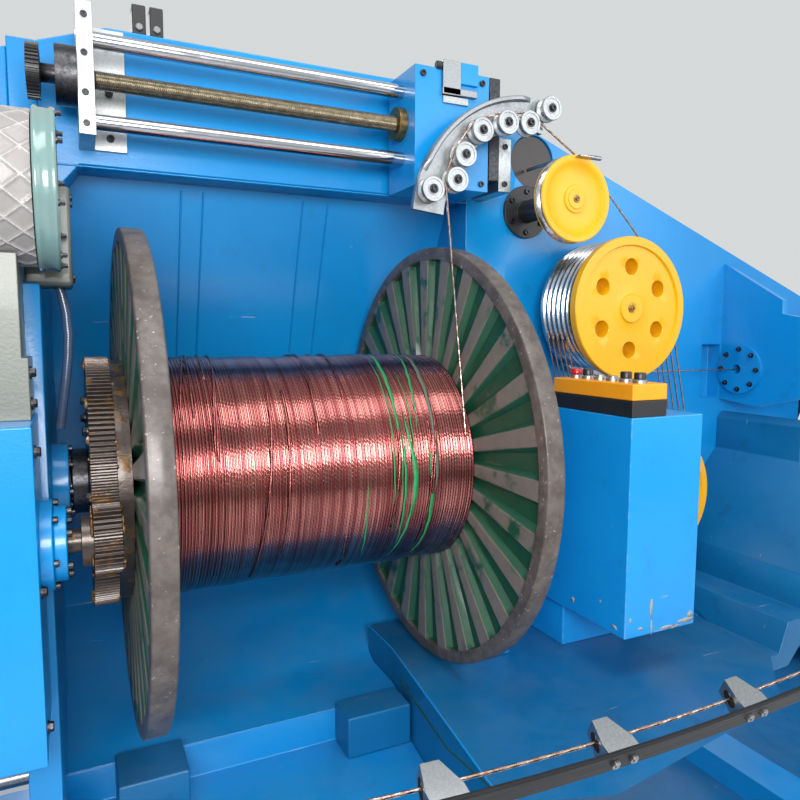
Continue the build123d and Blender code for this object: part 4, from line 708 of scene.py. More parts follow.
# %% Flange finish: green paint in the valleys, bare primer on the crests, brown rim
flange_finish, tree, shader, place = new_finish("worn reel paint", coat=0.1)
flange_uv = wire(tree, "ShaderNodeTexCoord", output="UV")
crest, rim_share = (wire(tree, "ShaderNodeSeparateXYZ", {0: flange_uv}, axis) for axis in ("X", "Y"))
rub = noise(tree, place, 7.0, 6.0, 0.65)
rubbed = calculate(tree, "MULTIPLY", ramp(tree, crest, 0.80, 0.99), ramp(tree, rub, 0.36, 0.47), True)
green = mix_colour(tree, noise(tree, place, 18.0), (0.005, 0.048, 0.027, 1), (0.012, 0.088, 0.045, 1))
primer = mix_colour(tree, noise(tree, place, 30.0, 6.0), (0.20, 0.165, 0.145, 1), (0.105, 0.105, 0.085, 1))
faced = mix_colour(tree, rubbed, green, primer)
rim_tone = mix_colour(tree, ramp(tree, noise(tree, place, 22.0, 7.0, 0.7), 0.35, 0.65), (0.112, 0.092, 0.082, 1),
                      (0.056, 0.046, 0.040, 1))
rim_chip = ramp(tree, noise(tree, place, 85.0, 3.0), 0.66, 0.70)
chipped_rim = mix_colour(tree, rim_chip, rim_tone, (0.26, 0.25, 0.23, 1))
give(tree, shader, mix_colour(tree, ramp(tree, rim_share, 0.4, 0.6), faced, chipped_rim),
     ramp(tree, rub, 0.3, 0.7, 0.35, 0.6),
     calculate(tree, "ADD", rub, calculate(tree, "MULTIPLY", rubbed, -0.2)), 0.003)

# %% Flange surfaces
RIB_COUNT, FLANGE_RADIUS, RIM_DEPTH, FLANGE_WIDTH, PRESS_DEPTH = 28, 0.625, 0.034, 0.051, 0.0185
RIM_EDGE, HUB_RADIUS, BORE_RADIUS = 0.004, 0.105, 0.0401
flange_angle = np.linspace(0, 2 * pi, RIB_COUNT * 16 + 1)[None, :]


def flange_face(plane_x, outwards):
    """One face: x = plane - outwards * press depth * (1 - rib height) over a grid of radius and angle."""
    inner = np.linspace(HUB_RADIUS, FLANGE_RADIUS - RIM_DEPTH - 0.006, 30)
    rim = np.array((0, 0.006, 0.008, RIM_DEPTH + 0.006 - RIM_EDGE, RIM_DEPTH + 0.0045,
                    RIM_DEPTH + 0.006)) + inner[-1]
    radius = np.concatenate([[BORE_RADIUS], inner[:-1], rim])[:, None]
    step = 2 * pi / RIB_COUNT
    off_line = np.abs((flange_angle + step / 2) % step - step / 2) * radius
    half_rib = 0.011 + (radius - 0.12) / (0.591 - 0.12) * 0.021
    height = np.clip((half_rib + 0.006 - off_line) / 0.010, 0, 1)
    height = height * height * (3 - 2 * height)
    height = np.where(radius < 0.118, 1.0, height)
    in_rim = radius >= rim[1]
    height = np.where(in_rim, 1.0, height)
    drop = np.zeros_like(radius)
    drop[-2], drop[-1] = 0.0012, RIM_EDGE
    x = plane_x - outwards * (PRESS_DEPTH * (1 - height) + drop)
    points = on_winding(x, flange_angle, radius)
    uv = np.stack(np.broadcast_arrays(height, in_rim * 1.0 + 0 * height), axis=-1)
    return points, grid_faces(len(radius), flange_angle.size), uv


def flange_strip(left_x, inset, radius, share):
    """Cylinder strip between the two faces, or inset from them; share 1 marks it as rim."""
    x = (left_x + np.array((inset, FLANGE_WIDTH - inset)))[:, None]
    size = flange_angle.size
    return on_winding(x, flange_angle, radius), grid_faces(2, size), np.full((2, size, 2), share)


flanges = []
for left_x in (-0.750, 0.113):
    flanges += [flange_face(left_x, -1), flange_face(left_x + FLANGE_WIDTH, 1),
                flange_strip(left_x, RIM_EDGE, FLANGE_RADIUS, 1.0), flange_strip(left_x, 0, BORE_RADIUS, 0.0)]
add_piece("reel_flange_pair", {flange_finish: flanges}, "reel", ["reel_flanges"], sharp=40)
print("flange parts:", len(flanges))

# %% [markdown]
# ## Strand on the machine
# The strand is laid from several wires, so its outline has lobes that wind round it. One function
# carries a lobed cross-section along any path. Between pulleys the path is straight, and over a
# pulley it follows the groove.

# %% Places of the wheels and rollers, as (x, z)
STRAND_REACH = 0.0313
WHEEL_PLACE, WHEEL_REACH, WHEEL_Y = (0.598, 2.147), 0.1253, -0.168
UPPER_PLACE, LOWER_PLACE, GROOVE_REACH = (0.854, 1.8083), (1.014, 1.147), 0.2283
ROLLER_Y = -0.215
ROLLER_PLACES = [(0.064, 2.122), (0.141, 2.155), (0.167, 2.227), (0.223, 2.301), (0.309, 2.333), (0.386, 2.341),
                 (0.463, 2.393)]
HEAD_GROOVES = -0.025 * np.arange(6)


def touching(first, second, reach_first, reach_second):
    """Ends, in x and z, of the straight stretch that lies over two pulleys, above the travel to the left."""
    a, b = np.array(first), np.array(second)
    along = (b - a) / np.linalg.norm(b - a)
    share = (reach_first - reach_second) / np.linalg.norm(b - a)
    side = np.array((along[1], -along[0])) * np.sqrt(1 - share ** 2) + along * share
    return a + side * reach_first, b + side * reach_second


def round_pulley(centre, start, end, steps=8):
    """Arc of x and z round a pulley from one point of touch to the next, the short way."""
    centre = np.array(centre)
    first, last = (np.arctan2(*(point - centre)[::-1]) for point in (start, end))
    last += 2 * pi * np.round((first - last) / (2 * pi))
    angle = np.linspace(first, last, steps)
    return centre + np.linalg.norm(start - centre) * np.stack([np.cos(angle), np.sin(angle)], axis=1)


def in_plane(points, y):
    """Points of x and z as 3-D points at y, which may change along them."""
    points = np.atleast_2d(points)
    return np.stack([points[:, 0], np.broadcast_to(y, len(points)), points[:, 1]], axis=1)


# %% Over the arc of rollers and down to the winding
stops = [touching(a, b, STRAND_REACH, STRAND_REACH) for a, b in zip(ROLLER_PLACES[5:1:-1], ROLLER_PLACES[4:0:-1])]
span_start, span_end = touching(WHEEL_PLACE, ROLLER_PLACES[5], WHEEL_REACH, STRAND_REACH)
last_roller = np.array(ROLLER_PLACES[1])
leaving = last_roller + (-STRAND_REACH, 0)
route = [round_pulley(ROLLER_PLACES[5], span_end, stops[0][0])]
for number, (stop, following) in enumerate(zip(stops, stops[1:])):
    route += [round_pulley(ROLLER_PLACES[4 - number], stop[1], following[0])]
route += [round_pulley(last_roller, stops[-1][1], leaving)]
LANDING_ANGLE = radians(17)
landing = on_winding(0.090, LANDING_ANGLE, 0.3093)
over_rollers = np.concatenate([in_plane(np.concatenate(route), ROLLER_Y), landing[None]])
add_piece("strand_over_rollers", {strand_metal: [laid_strand(over_rollers, (0, 1, 0))]}, "carriage",
          ["strand_on_rollers"], sharp=180)

# %% The stretch from the guide wheel to the arc, which lengthens as the carriage moves away
span_path = np.concatenate([in_plane(span_start, WHEEL_Y), in_plane(span_end, ROLLER_Y)])
span_piece = add_piece("strand_stretch", {strand_metal: [laid_strand(span_path, (0, 1, 0))]}, None,
                       ["strand_span"], sharp=180)
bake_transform(span_piece)

# %% From the nose round the two capstans and on to the guide wheel
runs = [np.array([(0.854, 0, 1.580), (1.600, 0, 1.580)])]
down = np.subtract(LOWER_PLACE, UPPER_PLACE) / np.linalg.norm(np.subtract(LOWER_PLACE, UPPER_PLACE))
out = np.array((-down[1], down[0]))
across = out * GROOVE_REACH
for index in range(5):
    for side in (-1, 1):
        head = HEAD_GROOVES[index] if side < 0 else HEAD_GROOVES[index + 1]
        foot_y = HEAD_GROOVES[index + 1]
        runs.append(np.concatenate([in_plane(UPPER_PLACE + side * across, head),
                                    in_plane(LOWER_PLACE + side * across, foot_y)]))
half_turn = np.linspace(0, pi, 24)[:, None]
cosine, sine = np.cos(half_turn), np.sin(half_turn)
for index in range(6):
    top = UPPER_PLACE - GROOVE_REACH * (cosine * out + sine * down)
    runs.append(in_plane(top, HEAD_GROOVES[index]))
    if index:
        foot = LOWER_PLACE - GROOVE_REACH * (cosine * out - sine * down)
        runs.append(in_plane(foot, HEAD_GROOVES[index]))
outgoing, arriving = touching(UPPER_PLACE, WHEEL_PLACE, GROOVE_REACH, WHEEL_REACH)
runs.append(np.concatenate([in_plane(outgoing, HEAD_GROOVES[-1]), in_plane(arriving, WHEEL_Y),
                            in_plane(round_pulley(WHEEL_PLACE, arriving, span_start), WHEEL_Y)]))
add_piece("strand_round_capstans", {strand_metal: [laid_strand(run, (0, 1, 0), around=12, step=0.008)
                                                   for run in runs]}, "root",
          ["strand_runs"], sharp=180)

# %% Along the bow through the guides, and in to the hollow shaft
AXIS_HEIGHT, BOW_REACH, BOW_RADIUS, BOW_ANGLE = 1.580, 1.300, 6.800, radians(23)
EYE_DROP, EYE_RADIUS, STRAND_RADIUS, SEAT_GAP = 0.036, 0.009, 0.003, 0.0003
STRAND_TRACK = BOW_RADIUS - EYE_DROP + EYE_RADIUS - STRAND_RADIUS - SEAT_GAP
OUTWARD = np.array((0, -np.cos(BOW_ANGLE), -np.sin(BOW_ANGLE)))
ACROSS_BOW = np.array((0, np.sin(BOW_ANGLE), -np.cos(BOW_ANGLE)))


def at_bow(x, height, sideways=0.0, end=1):
    """Point by its place along the axis, its distance from the axis towards a bow, and its place across the bow."""
    x, height, sideways = np.broadcast_arrays(x, height, sideways)
    base = np.stack([x, 0 * x, 0 * x + AXIS_HEIGHT], axis=-1)
    return base + end * (height[..., None] * OUTWARD + sideways[..., None] * ACROSS_BOW)


turn_x, tip_x = 2.215, 2.275
bow_x = np.linspace(-turn_x, turn_x, 160)
bow_line = at_bow(bow_x, BOW_REACH - BOW_RADIUS + np.sqrt(STRAND_TRACK ** 2 - bow_x ** 2))
inward = [at_bow(np.array((side * tip_x, side * tip_x)), np.array((0.870, 0.062))) for side in (-1, 1)]
add_piece("strand_on_bow", {strand_metal: [laid_strand(bow_line, ACROSS_BOW, around=15, step=0.006)]
                            + [laid_strand(run, ACROSS_BOW, around=12, step=0.02) for run in inward]},
          "rotor", ["bow_strand"], sharp=180)
print("strand pieces: 4")

# %% [markdown]
# ## Guides on the bows
# Each guide is a small cast block with a window in both ends, where a hard chromed roller shows,
# and a boss with a hole on its side. Two screws with nuts hold it through the bow. The block is
# repeated 28 times, so it stays plain: a tapered hull that the bevel rounds, a dark oval slab of
# painted shadow in each window and a dark disc in the boss's hole, and a turned roller.

# %% Guide blocks
# Painted shadow: dark oval slabs on the window faces and a dark disc on the boss stand for the shade inside the
# openings.
opening_shadow_black = speckled("painted shadow in openings", (0.004, 0.004, 0.004), (0.02, 0.018, 0.016), (60.0,), (40.0,),
                        (0.3, 0.7, 0.5, 0.8), specular=0.2)
blocks, window_shadows, eye_rollers, nuts = [], [], [], []
eye_profile = [(0, -0.008), (0.0085, -0.008), (0.0062, 0), (0.0085, 0.008), (0, 0.008)]
nut_profile = [(0, 0), (0.0085, 0), (0.0085, 0.005), (0.004, 0.0055), (0.004, 0.0075), (0, 0.0075)]
half_base, half_tip, half_wide = 0.030, 0.015, 0.018
for end in (1, -1):
    for guide_x in -1.918 + 0.300 * np.arange(14):
        height = BOW_REACH - BOW_RADIUS + np.sqrt(BOW_RADIUS ** 2 - guide_x ** 2)
        slope = -guide_x / np.sqrt(BOW_RADIUS ** 2 - guide_x ** 2)

        def here(x, drop, sideways):
            """Point beside this guide: x along the bow, drop from the bow's inner face, sideways across it."""
            return at_bow(guide_x + np.asarray(x) - slope * np.asarray(drop), height + slope * np.asarray(x) - drop,
                          sideways, end)

        levels = [(half_base, 0.0, half_wide), (half_base, 0.014, half_wide), (half_tip, 0.058, half_wide * 0.8)]
        rings = [here(np.array((-a, a, a, -a)), np.full(4, d), np.array((-w, -w, w, w))) for a, d, w in levels]
        blocks.append((np.stack([np.broadcast_to(rings[0].mean(0), (4, 3)), *rings,
                                 np.broadcast_to(rings[-1].mean(0), (4, 3))]),
                       grid_faces(5, 4, False, True)))
        oval = np.linspace(0, 2 * pi, 16, endpoint=False)
        side_axis = here(0, 0, 1) - here(0, 0, 0)
        for face in (-1, 1):
            depth = 0.031 + 0.017 * np.sin(oval)
            wall = face * (half_base - (depth - 0.014).clip(0) / 0.044 * (half_base - half_tip) + 0.0004)
            outline = here(wall, depth, 0.0085 * np.cos(oval))
            window_shadows.append(slab(outline, here(0.0008 * face, 0, 0) - here(0, 0, 0)))
            eye_rollers.append(turned(eye_profile, here(face * 0.0175, 0.031, 0), side_axis, 14))
        window_shadows.append(drum(0.0045, 0.003, here(0.004, 0.034, half_wide * 0.86), side_axis, 0.0005, 10))
        nuts += [turned(nut_profile, here(nut_x, -0.008, 0), end * OUTWARD, 6) for nut_x in (-0.018, 0.018)]
add_piece("guide_blocks", {cast_aluminium: blocks, opening_shadow_black: window_shadows, bright_rod: eye_rollers,
                           turned_steel: nuts}, "rotor",
          ["bow_guides"], edge=0.0012, sharp=30)
print("guides:", len(blocks))

# %% [markdown]
# ## Lead screw
# The traverse screw has four thread starts, so it moves the carriage 20 mm a turn while its
# ridges are only 5 mm apart. Its surface is a trapezoid wave of the place along the axis plus four
# times the angle.

# %% Screw and its toothed pulley
SCREW_PLACE = np.array((0.0, -0.030, 2.345))
RIDGE_PITCH, THREAD_STARTS = 0.005, 4
screw_x = np.arange(-0.781, 0.342, 0.00125)
around_screw = np.linspace(0, 2 * pi, 37)
wave = np.abs(((screw_x[:, None] / RIDGE_PITCH + THREAD_STARTS * around_screw / (2 * pi)) % 1) * 2 - 1)
screw_radius = 0.0205 + 0.0020 * np.clip((wave - 0.3) * 3, 0, 1)
screw_radius[[0, -1]] = 0.0
screw_x[[0, -1]] = screw_x[[1, -2]]
thread = (round_x(screw_x[:, None], screw_radius, around_screw, SCREW_PLACE),
          grid_faces(len(screw_x), len(around_screw)))
TOOTH_COUNT = 40
tooth_angle = np.linspace(0, 2 * pi, TOOTH_COUNT * 6, endpoint=False)
tooth_wave = np.clip(np.abs((tooth_angle * TOOTH_COUNT / (2 * pi)) % 1 * 2 - 1) * 3 - 1, 0, 1)
tooth_radius = 0.0600 + 0.0040 * tooth_wave
rows = np.array([(0, -0.934), (0.5, -0.934), (1, -0.932), (1, -0.904), (0.5, -0.902), (0, -0.902)])
pulley = (round_x(rows[:, 1:], rows[:, :1] * tooth_radius, tooth_angle, SCREW_PLACE),
          grid_faces(len(rows), len(tooth_angle), False, True))
journals = [drum(0.022, 0.125, SCREW_PLACE + (-0.905, 0, 0), (1, 0, 0)),
            drum(0.022, 0.039, SCREW_PLACE + (0.341, 0, 0), (1, 0, 0))]
add_piece("threaded_screw", {thread_steel: [thread], black_paint: [pulley], dark_steel: journals}, "lead_screw",
          ["lead_screw"], sharp=50)
print("thread rows:", len(screw_x))

# %% [markdown]
# ## Arc of rollers
# The carriage carries a cast arc with a raised outer rim. Seven small pulleys sit on it, each a
# pale turned disc with a washer and a dark socket screw in the middle.

# %% Raised rim of the arc
ARC_PLACE = (0.414, 2.029)
rim_angle = np.radians(np.linspace(158, 90, 60))
profile = np.array([(0.381, -0.192), (0.383, -0.205), (0.386, -0.208), (0.394, -0.208), (0.397, -0.205),
                    (0.397, -0.192)])
rim_rise = np.clip(np.minimum(np.arange(60), 59 - np.arange(60)) / 4, 0, 1)[:, None]
rim_y = -0.192 + (profile[None, :, 1] + 0.192) * rim_rise
rim_points = np.stack([ARC_PLACE[0] + profile[None, :, 0] * np.cos(rim_angle)[:, None], rim_y,
                       ARC_PLACE[1] + profile[None, :, 0] * np.sin(rim_angle)[:, None]], axis=-1)
add_piece("arc_rim", {cast_aluminium: [(rim_points, grid_faces(60, 6, False, True))]}, "carriage",
          sharp=45)

# %% Rollers
roller_profile = [(0.0081, 0.0), (0.033, 0.0), (0.035, 0.002), (0.035, 0.007), (0.034, 0.008), (0.0285, 0.013),
                  (0.0280, 0.018), (0.0285, 0.023), (0.034, 0.028), (0.035, 0.029), (0.035, 0.034), (0.0335, 0.036), (0.0275, 0.036),
                  (0.0265, 0.0345), (0.0175, 0.0345), (0.0165, 0.036), (0.0081, 0.036), (0.0081, 0.0)]
for number, (x, z) in enumerate(ROLLER_PLACES, 1):
    back_centre = np.array((x, -0.197, z))
    face = back_centre + (0, -0.036, 0)
    screw = [turned([(0.0081, -0.002), (0.0135, 0), (0.0135, 0.002), (0, 0.002)], face, (0, -1, 0), 24),
             *socket_bolt(face + (0, -0.002, 0), (0, -1, 0), 0.0085, 0.006)]
    add_piece(f"roller_{number}_disc", {machined_aluminium: [turned(roller_profile, back_centre, (0, -1, 0), 44)],
                                        dark_steel: screw}, f"roller_{number}",
              [f"guide_roller_{number}"], sharp=40)
print("rollers:", len(ROLLER_PLACES))

# %% [markdown]
# ## Guide wheel and capstans
# The guide wheel is dished and painted yellow, with a bare groove. The capstans are polished
# drums with grooves, behind a yellow disc with six lightening holes. A disc with holes is worked
# out hole by hole: in each sixth part the surface runs from the hole's circle to the part's border.

# %% Guide wheel
WHEEL_CENTRE = np.array((0.598, -0.190, 2.147))
wheel_front = [(0, 0.000), (0.030, 0.000), (0.032, 0.003), (0.042, 0.004), (0.044, 0.009), (0.096, 0.011),
               (0.110, 0.004), (0.118, 0.0005), (0.132, 0.000), (0.135, 0.003), (0.135, 0.007)]
groove = [(0.135, 0.007), (0.134, 0.009), (0.123, 0.017), (0.122, 0.022), (0.123, 0.027), (0.134, 0.035),
          (0.135, 0.037)]
wheel_back = [(0.135, 0.037), (0.135, 0.041), (0.132, 0.044), (0.110, 0.040), (0.045, 0.040), (0.040, 0.044),
              (0.0205, 0.044)]
wheel_screw = [turned([(0.0, -0.002), (0.012, -0.002), (0.013, -0.001), (0.013, 0.001)], WHEEL_CENTRE, (0, 1, 0),
                      24)]
wheel_screw += socket_bolt(WHEEL_CENTRE + (0, -0.001, 0), (0, -1, 0), 0.006, 0.005)
add_piece("guide_wheel_disc", {yellow_paint: [turned(profile, WHEEL_CENTRE, (0, 1, 0), 96)
                                              for profile in (wheel_front, wheel_back)],
                               mirror_drum: [turned(groove, WHEEL_CENTRE, (0, 1, 0), 96)], bronze: wheel_screw},
          "guide_wheel", ["guide_wheel"], sharp=38)
mount_bolts = []
for degrees in (30, 90, 150, 210, 270, 330):
    spot = np.array((0.598 + 0.070 * np.cos(radians(degrees)), 0.076, 2.147 + 0.070 * np.sin(radians(degrees))))
    mount_bolts += socket_bolt(spot, (0, -1, 0), 0.010, 0.007)
add_piece("wheel_mount_bolts", {dark_steel: mount_bolts}, "root", sharp=40)


# %% Capstans
def holed_sector(centre, y, hole_angle, inner, outer, hole_circle=0.140, hole_radius=0.028, thickness=0.040):
    """Sixth part of a ring with one walled hole: rows blend from the hole's circle to the part's border."""
    turn = np.linspace(0, 2 * pi, 49)
    side = pi / 6
    corners = [(inner, -side), (outer, -side), (outer, side), (inner, side), (inner, -side)]
    border = np.concatenate([np.linspace(corners[i], corners[i + 1], 12, endpoint=False) for i in range(4)]
                            + [[corners[0]]])
    flat_border = border[:, :1] * np.stack([np.cos(border[:, 1]), np.sin(border[:, 1])], axis=1)
    direction = flat_border - (hole_circle, 0)
    start = np.arctan2(direction[:, 1], direction[:, 0])
    circle = (hole_circle, 0) + hole_radius * np.stack([np.cos(start), np.sin(start)], axis=1)
    shares = (0.0, 0.0, 0.04, 0.5, 1.0)
    depths = (thickness, 0.0015, 0.0, 0.0, 0.0)
    rows = [circle + share * (flat_border - circle) for share in shares]
    turned_rows = [np.stack([r[:, 0] * np.cos(hole_angle) - r[:, 1] * np.sin(hole_angle),
                             r[:, 0] * np.sin(hole_angle) + r[:, 1] * np.cos(hole_angle)], axis=1) for r in rows]
    points = np.stack([np.stack([centre[0] + r[:, 0], np.full(len(r), y + depth), centre[1] + r[:, 1]], axis=1)
                       for r, depth in zip(turned_rows, depths)])
    return points, grid_faces(len(rows), len(turn))


# Painted shade: the plates seen through the six holes take a darker copy of the yellow paint.
hole_shade_yellow = painted("yellow with painted shade in the holes", (0.55, 0.25, 0.001), (0.42, 0.18, 0.001), 0.4, coat=0.0, dust=0.0)
groove_rows = []
for index in range(6):
    low = -0.150 + 0.025 * index
    groove_rows += [(0.234, low + 0.0015), (0.2265, low + 0.0055), (0.225, low + 0.0125), (0.2265, low + 0.0195),
                    (0.234, low + 0.0235)]
for name, (x, z) in (("upper_capstan", UPPER_PLACE), ("lower_capstan", LOWER_PLACE)):
    axis_point = np.array((x, 0.0, z))
    dish, rim_face = -0.172, -0.180
    disc = [turned([(0.092, dish), (0.060, dish), (0.050, dish - 0.002), (0.046, rim_face), (0.020, rim_face),
                    (0.018, rim_face + 0.003), (0, rim_face + 0.003)], axis_point, (0, 1, 0), 72),
            turned([(0.200, dish), (0.208, dish), (0.212, rim_face), (0.237, rim_face), (0.240, rim_face + 0.003),
                    (0.240, -0.152), (0.238, -0.150), (0.234, -0.150)], axis_point, (0, 1, 0), 144)]
    disc += [holed_sector((x, z), dish, angle, 0.092, 0.200) for angle in np.radians(30 + 60 * np.arange(6))]
    body_drum = [turned([(0.234, -0.150), *groove_rows, (0.234, 0.013), (0.232, 0.015), (0.036, 0.015),
                         (0.035, 0.018), (0.035, 0.088)],
                        axis_point, (0, 1, 0), 120)]
    hub_screw = [turned([(0, rim_face - 0.001), (0.014, rim_face - 0.001), (0.015, rim_face),
                         (0.015, rim_face + 0.003)], axis_point,
                        (0, 1, 0), 6), *socket_bolt(axis_point + (0, rim_face, 0), (0, -1, 0), 0.007, 0.005)]
    back_plates = [turned([(0.060, dish + 0.040), (0.215, dish + 0.040)], axis_point, (0, 1, 0), 72)]
    add_piece(f"{name}_wheel", {yellow_paint: disc, hole_shade_yellow: back_plates, mirror_drum: body_drum,
                                bronze: hub_screw}, name, [name],
              sharp=38)
print("capstans: 2")

# %% [markdown]
# ## Motor, console and their small parts
# The take-up motor wears a foam net from its delivery: soft diamonds with pale strings. The net is
# a height over angle and length, where two families of lines cross. Its end is a clean ring round
# a sunk fan cover.

# %% Motor in its net
net_finish, tree, shader, place = new_finish("motor net", coat=0.25, coordinates="UV")
string_height = wire(tree, "ShaderNodeSeparateXYZ", {0: place}, "X")
net_place = wire(tree, "ShaderNodeTexCoord", output="Object")
under = mix_colour(tree, noise(tree, net_place, 22.0), (0.21, 0.20, 0.19, 1), (0.33, 0.31, 0.30, 1))
give(tree, shader, mix_colour(tree, ramp(tree, string_height, 0.45, 0.95), under, (0.47, 0.46, 0.45, 1)),
     ramp(tree, string_height, 0.2, 0.9, 0.55, 0.30), noise(tree, net_place, 150.0), 0.0012)
MOTOR_CENTRE = np.array((0.0, -0.400, 2.000))
net_x = np.linspace(-1.331, -0.911, 150)
net_angle = np.linspace(0, 2 * pi, 289)
across_one, across_two = ((net_x[:, None] / 0.060 + family * net_angle * 18 / (2 * pi)) % 1 for family in (-1, 1))
string = np.maximum(*(np.exp(-((np.abs(share - 0.5)) / 0.065) ** 2) for share in (across_one, across_two)))
puff = np.sqrt(np.abs(np.sin(pi * across_one) * np.sin(pi * across_two)))
net_radius = 0.1455 + 0.0035 * string + 0.0006 * puff
net_radius[[0, -1]] = 0
net_x[[0, -1]] = net_x[[1, -2]]
net = (round_x(net_x[:, None], net_radius, net_angle, MOTOR_CENTRE), grid_faces(len(net_x), len(net_angle)),
       np.stack([string, puff], axis=-1))
end_ring = [turned([(0.140, -0.913), (0.156, -0.911), (0.158, -0.908), (0.158, -0.904), (0.155, -0.900),
                    (0.155, -0.884), (0.158, -0.880),
                    (0.158, -0.875), (0.155, -0.872), (0.138, -0.872), (0.136, -0.875), (0.134, -0.893),
                    (0, -0.894)],
                   MOTOR_CENTRE, (1, 0, 0), 120)]
fan_cover = [turned([(0.036, -0.8925), (0.036, -0.888), (0.033, -0.886), (0, -0.886)], MOTOR_CENTRE, (1, 0, 0), 32)]
add_piece("motor_in_net", {net_finish: [net], ring_paint: end_ring + fan_cover},
          "root", ["take_up_motor"], sharp=40)
print("motor ready")

# %% Console: an orange layer over a black one
console_low = np.array((0.540, -0.520, 1.489))
console_high = np.array((0.670, -0.170, 1.583))
seam = 1.536
add_piece("console_base", {black_paint: [block(console_low, (*console_high[:2], seam))]}, "root",
          edge=0.003)
add_piece("console_cover", {orange_plastic: [block((*console_low[:2], seam + 0.0005), console_high)]}, "root",
          ["console"], edge=0.004)

# %% Buttons, from the left: red mushroom, tall black knob, two flat ones, two black knobs
bezel = [(0, 0), (0.0205, 0), (0.0205, 0.008), (0.018, 0.010), (0, 0.010)]
knob = [(0, 0.010), (0.0165, 0.010), (0.0165, 0.027), (0.015, 0.030), (0, 0.030)]
mushroom = [(0, 0.010), (0.012, 0.010), (0.012, 0.014), (0.0200, 0.016), (0.0200, 0.023), (0.017, 0.0275),
            (0, 0.029)]
flat_cap = [(0.014, 0.010), (0.014, 0.014), (0.012, 0.0155), (0, 0.0155)]
BUTTON_X, BUTTON_Y, CONSOLE_TOP = 0.603, -0.480 + 0.055 * np.arange(6), 1.583
kinds = [knob, knob, flat_cap, flat_cap, knob, mushroom]
bezels = [turned(bezel, (BUTTON_X, y, CONSOLE_TOP), (0, 0, 1), 32) for y in BUTTON_Y]
caps = {black_paint: [], red_plastic: [], machined_aluminium: list(bezels)}
for y, kind in zip(BUTTON_Y, kinds):
    finish = red_plastic if kind is mushroom else machined_aluminium if kind is flat_cap else black_paint
    caps[finish].append(turned(kind, (BUTTON_X, y, CONSOLE_TOP), (0, 0, 1), 32))
add_piece("console_knobs", caps, "root", ["console_buttons"], sharp=38)
print("buttons:", len(bezels))

# %% [markdown]
# ## Welds, bolts and other small parts
# Small things tell the scale of a machine. Weld beads are ropes of overlapping drops, so their
# radius is a row of round backs along the seam. Bolts are one function, placed by lists, and all
# bolts of one body are one piece.

# %% Weld beads on the rear wall and the deck
weld_paint = painted("painted weld", BLUE, DEEP_BLUE, 0.3, dust=0.15, spread=0.1, wave=0.002)


def weld(corners, side, radius=0.0035, drop=0.007):
    """Bead along a path: its radius is a rectified sine of the distance, with a little unevenness."""
    corners = np.asarray(corners, dtype=float)
    points, faces, uv = laid_strand(corners, side, radius, lobes=1, around=8, step=drop / 3)
    middle = points[:, :-1].mean(1, keepdims=True)
    row = np.arange(len(points))
    scale = 0.65 + 0.35 * np.abs(np.sin(pi * row / 3 + 0.4 * np.sin(row * 0.13)))
    return middle + (points - middle) * scale[:, None, None], faces, uv


WALL_LINE = np.array(((0.235, 2.150), (0.589, 1.480), (0.609, 1.150), (0.559, 0.805)))
LEAN = np.array((0, 0.03, 0.035, 0.03))
welds = [weld(np.column_stack([x + LEAN * share, WALL_LINE]), (1, 0, 0))
         for x, share in ((-0.545, 0.4), (-0.480, 0.4), (-0.165, 1), (-0.080, 1))]
welds += [weld([(-0.915, 0.090, 2.160), (0.360, 0.090, 2.160)], (0, 1, 0)),
          weld([(0.361, 0.090, 2.500), (0.361, 0.090, 0.710)], (0, 1, 0)),
          weld([(-0.914, -0.088, 0.594), (0.040, -0.088, 0.594)], (0, 1, 0)),
          weld([(0.043, 0.190, 0.703), (0.043, -0.007, 0.703), (-0.045, -0.76, 0.703)],
             (0, 0, 1)),
          weld([(-0.914, -0.30, 0.500), (-0.914, 0.10, 0.594)], (0, 0, 1)),
          weld([(1.159, 0.089, 0.705), (1.159, -0.243, 0.705)], (0, 0, 1))]
add_piece("weld_beads", {weld_paint: welds}, "root", sharp=180)
print("welds:", len(welds))


# %% Bolt patterns
def ring_of_bolts(centre, axis, radius, count, width=0.019, start=0.0, maker=hex_bolt):
    """Bolts evenly round a circle about the axis."""
    first, second, _ = frame_of(axis)
    angles = start + 2 * pi * np.arange(count) / count
    return [part for a in angles
            for part in maker(np.asarray(centre) + radius * (np.cos(a) * first + np.sin(a) * second), axis, width)]


REEL_Y, REEL_Z = REEL_CENTRE[1:]
PINION_Y, PINION_Z = -0.451, 1.302
bolts = ring_of_bolts((1.600, -0.010, AXIS_HEIGHT), (-1, 0, 0), 0.082, 8, 0.014)
bolts += ring_of_bolts((-0.882, PINION_Y, PINION_Z), (1, 0, 0), 0.064, 6, 0.008, 0.5, socket_bolt)
bolts += ring_of_bolts((-0.906, PINION_Y, PINION_Z), (1, 0, 0), 0.082, 6, 0.007, 0.2, socket_bolt)
bolts += ring_of_bolts((-0.872, *MOTOR_CENTRE[1:]), (1, 0, 0), 0.147, 8, 0.009, 0.3)
bolts += ring_of_bolts((-0.877, REEL_Y, REEL_Z), (1, 0, 0), 0.084, 8, 0.008, 0.1, socket_bolt)
for side in (-1, 1):
    bolts += ring_of_bolts((side * 2.502, 0, AXIS_HEIGHT), (-side, 0, 0), 0.165, 12, 0.022)
    bolts += ring_of_bolts((side * 2.842, 0, AXIS_HEIGHT), (side, 0, 0), 0.150, 12, 0.022)
    for y in (-0.56, 0.56):
        for x in (2.53, 2.81):
            bolts += hex_bolt((side * x, y, 0.260), (0, 0, 1), 0.036, 0.024)
    for y in (-0.620, 0.620):
        bolts += hex_bolt((side * 2.822, y, 0.100), (0, 0, 1), 0.036, 0.024)
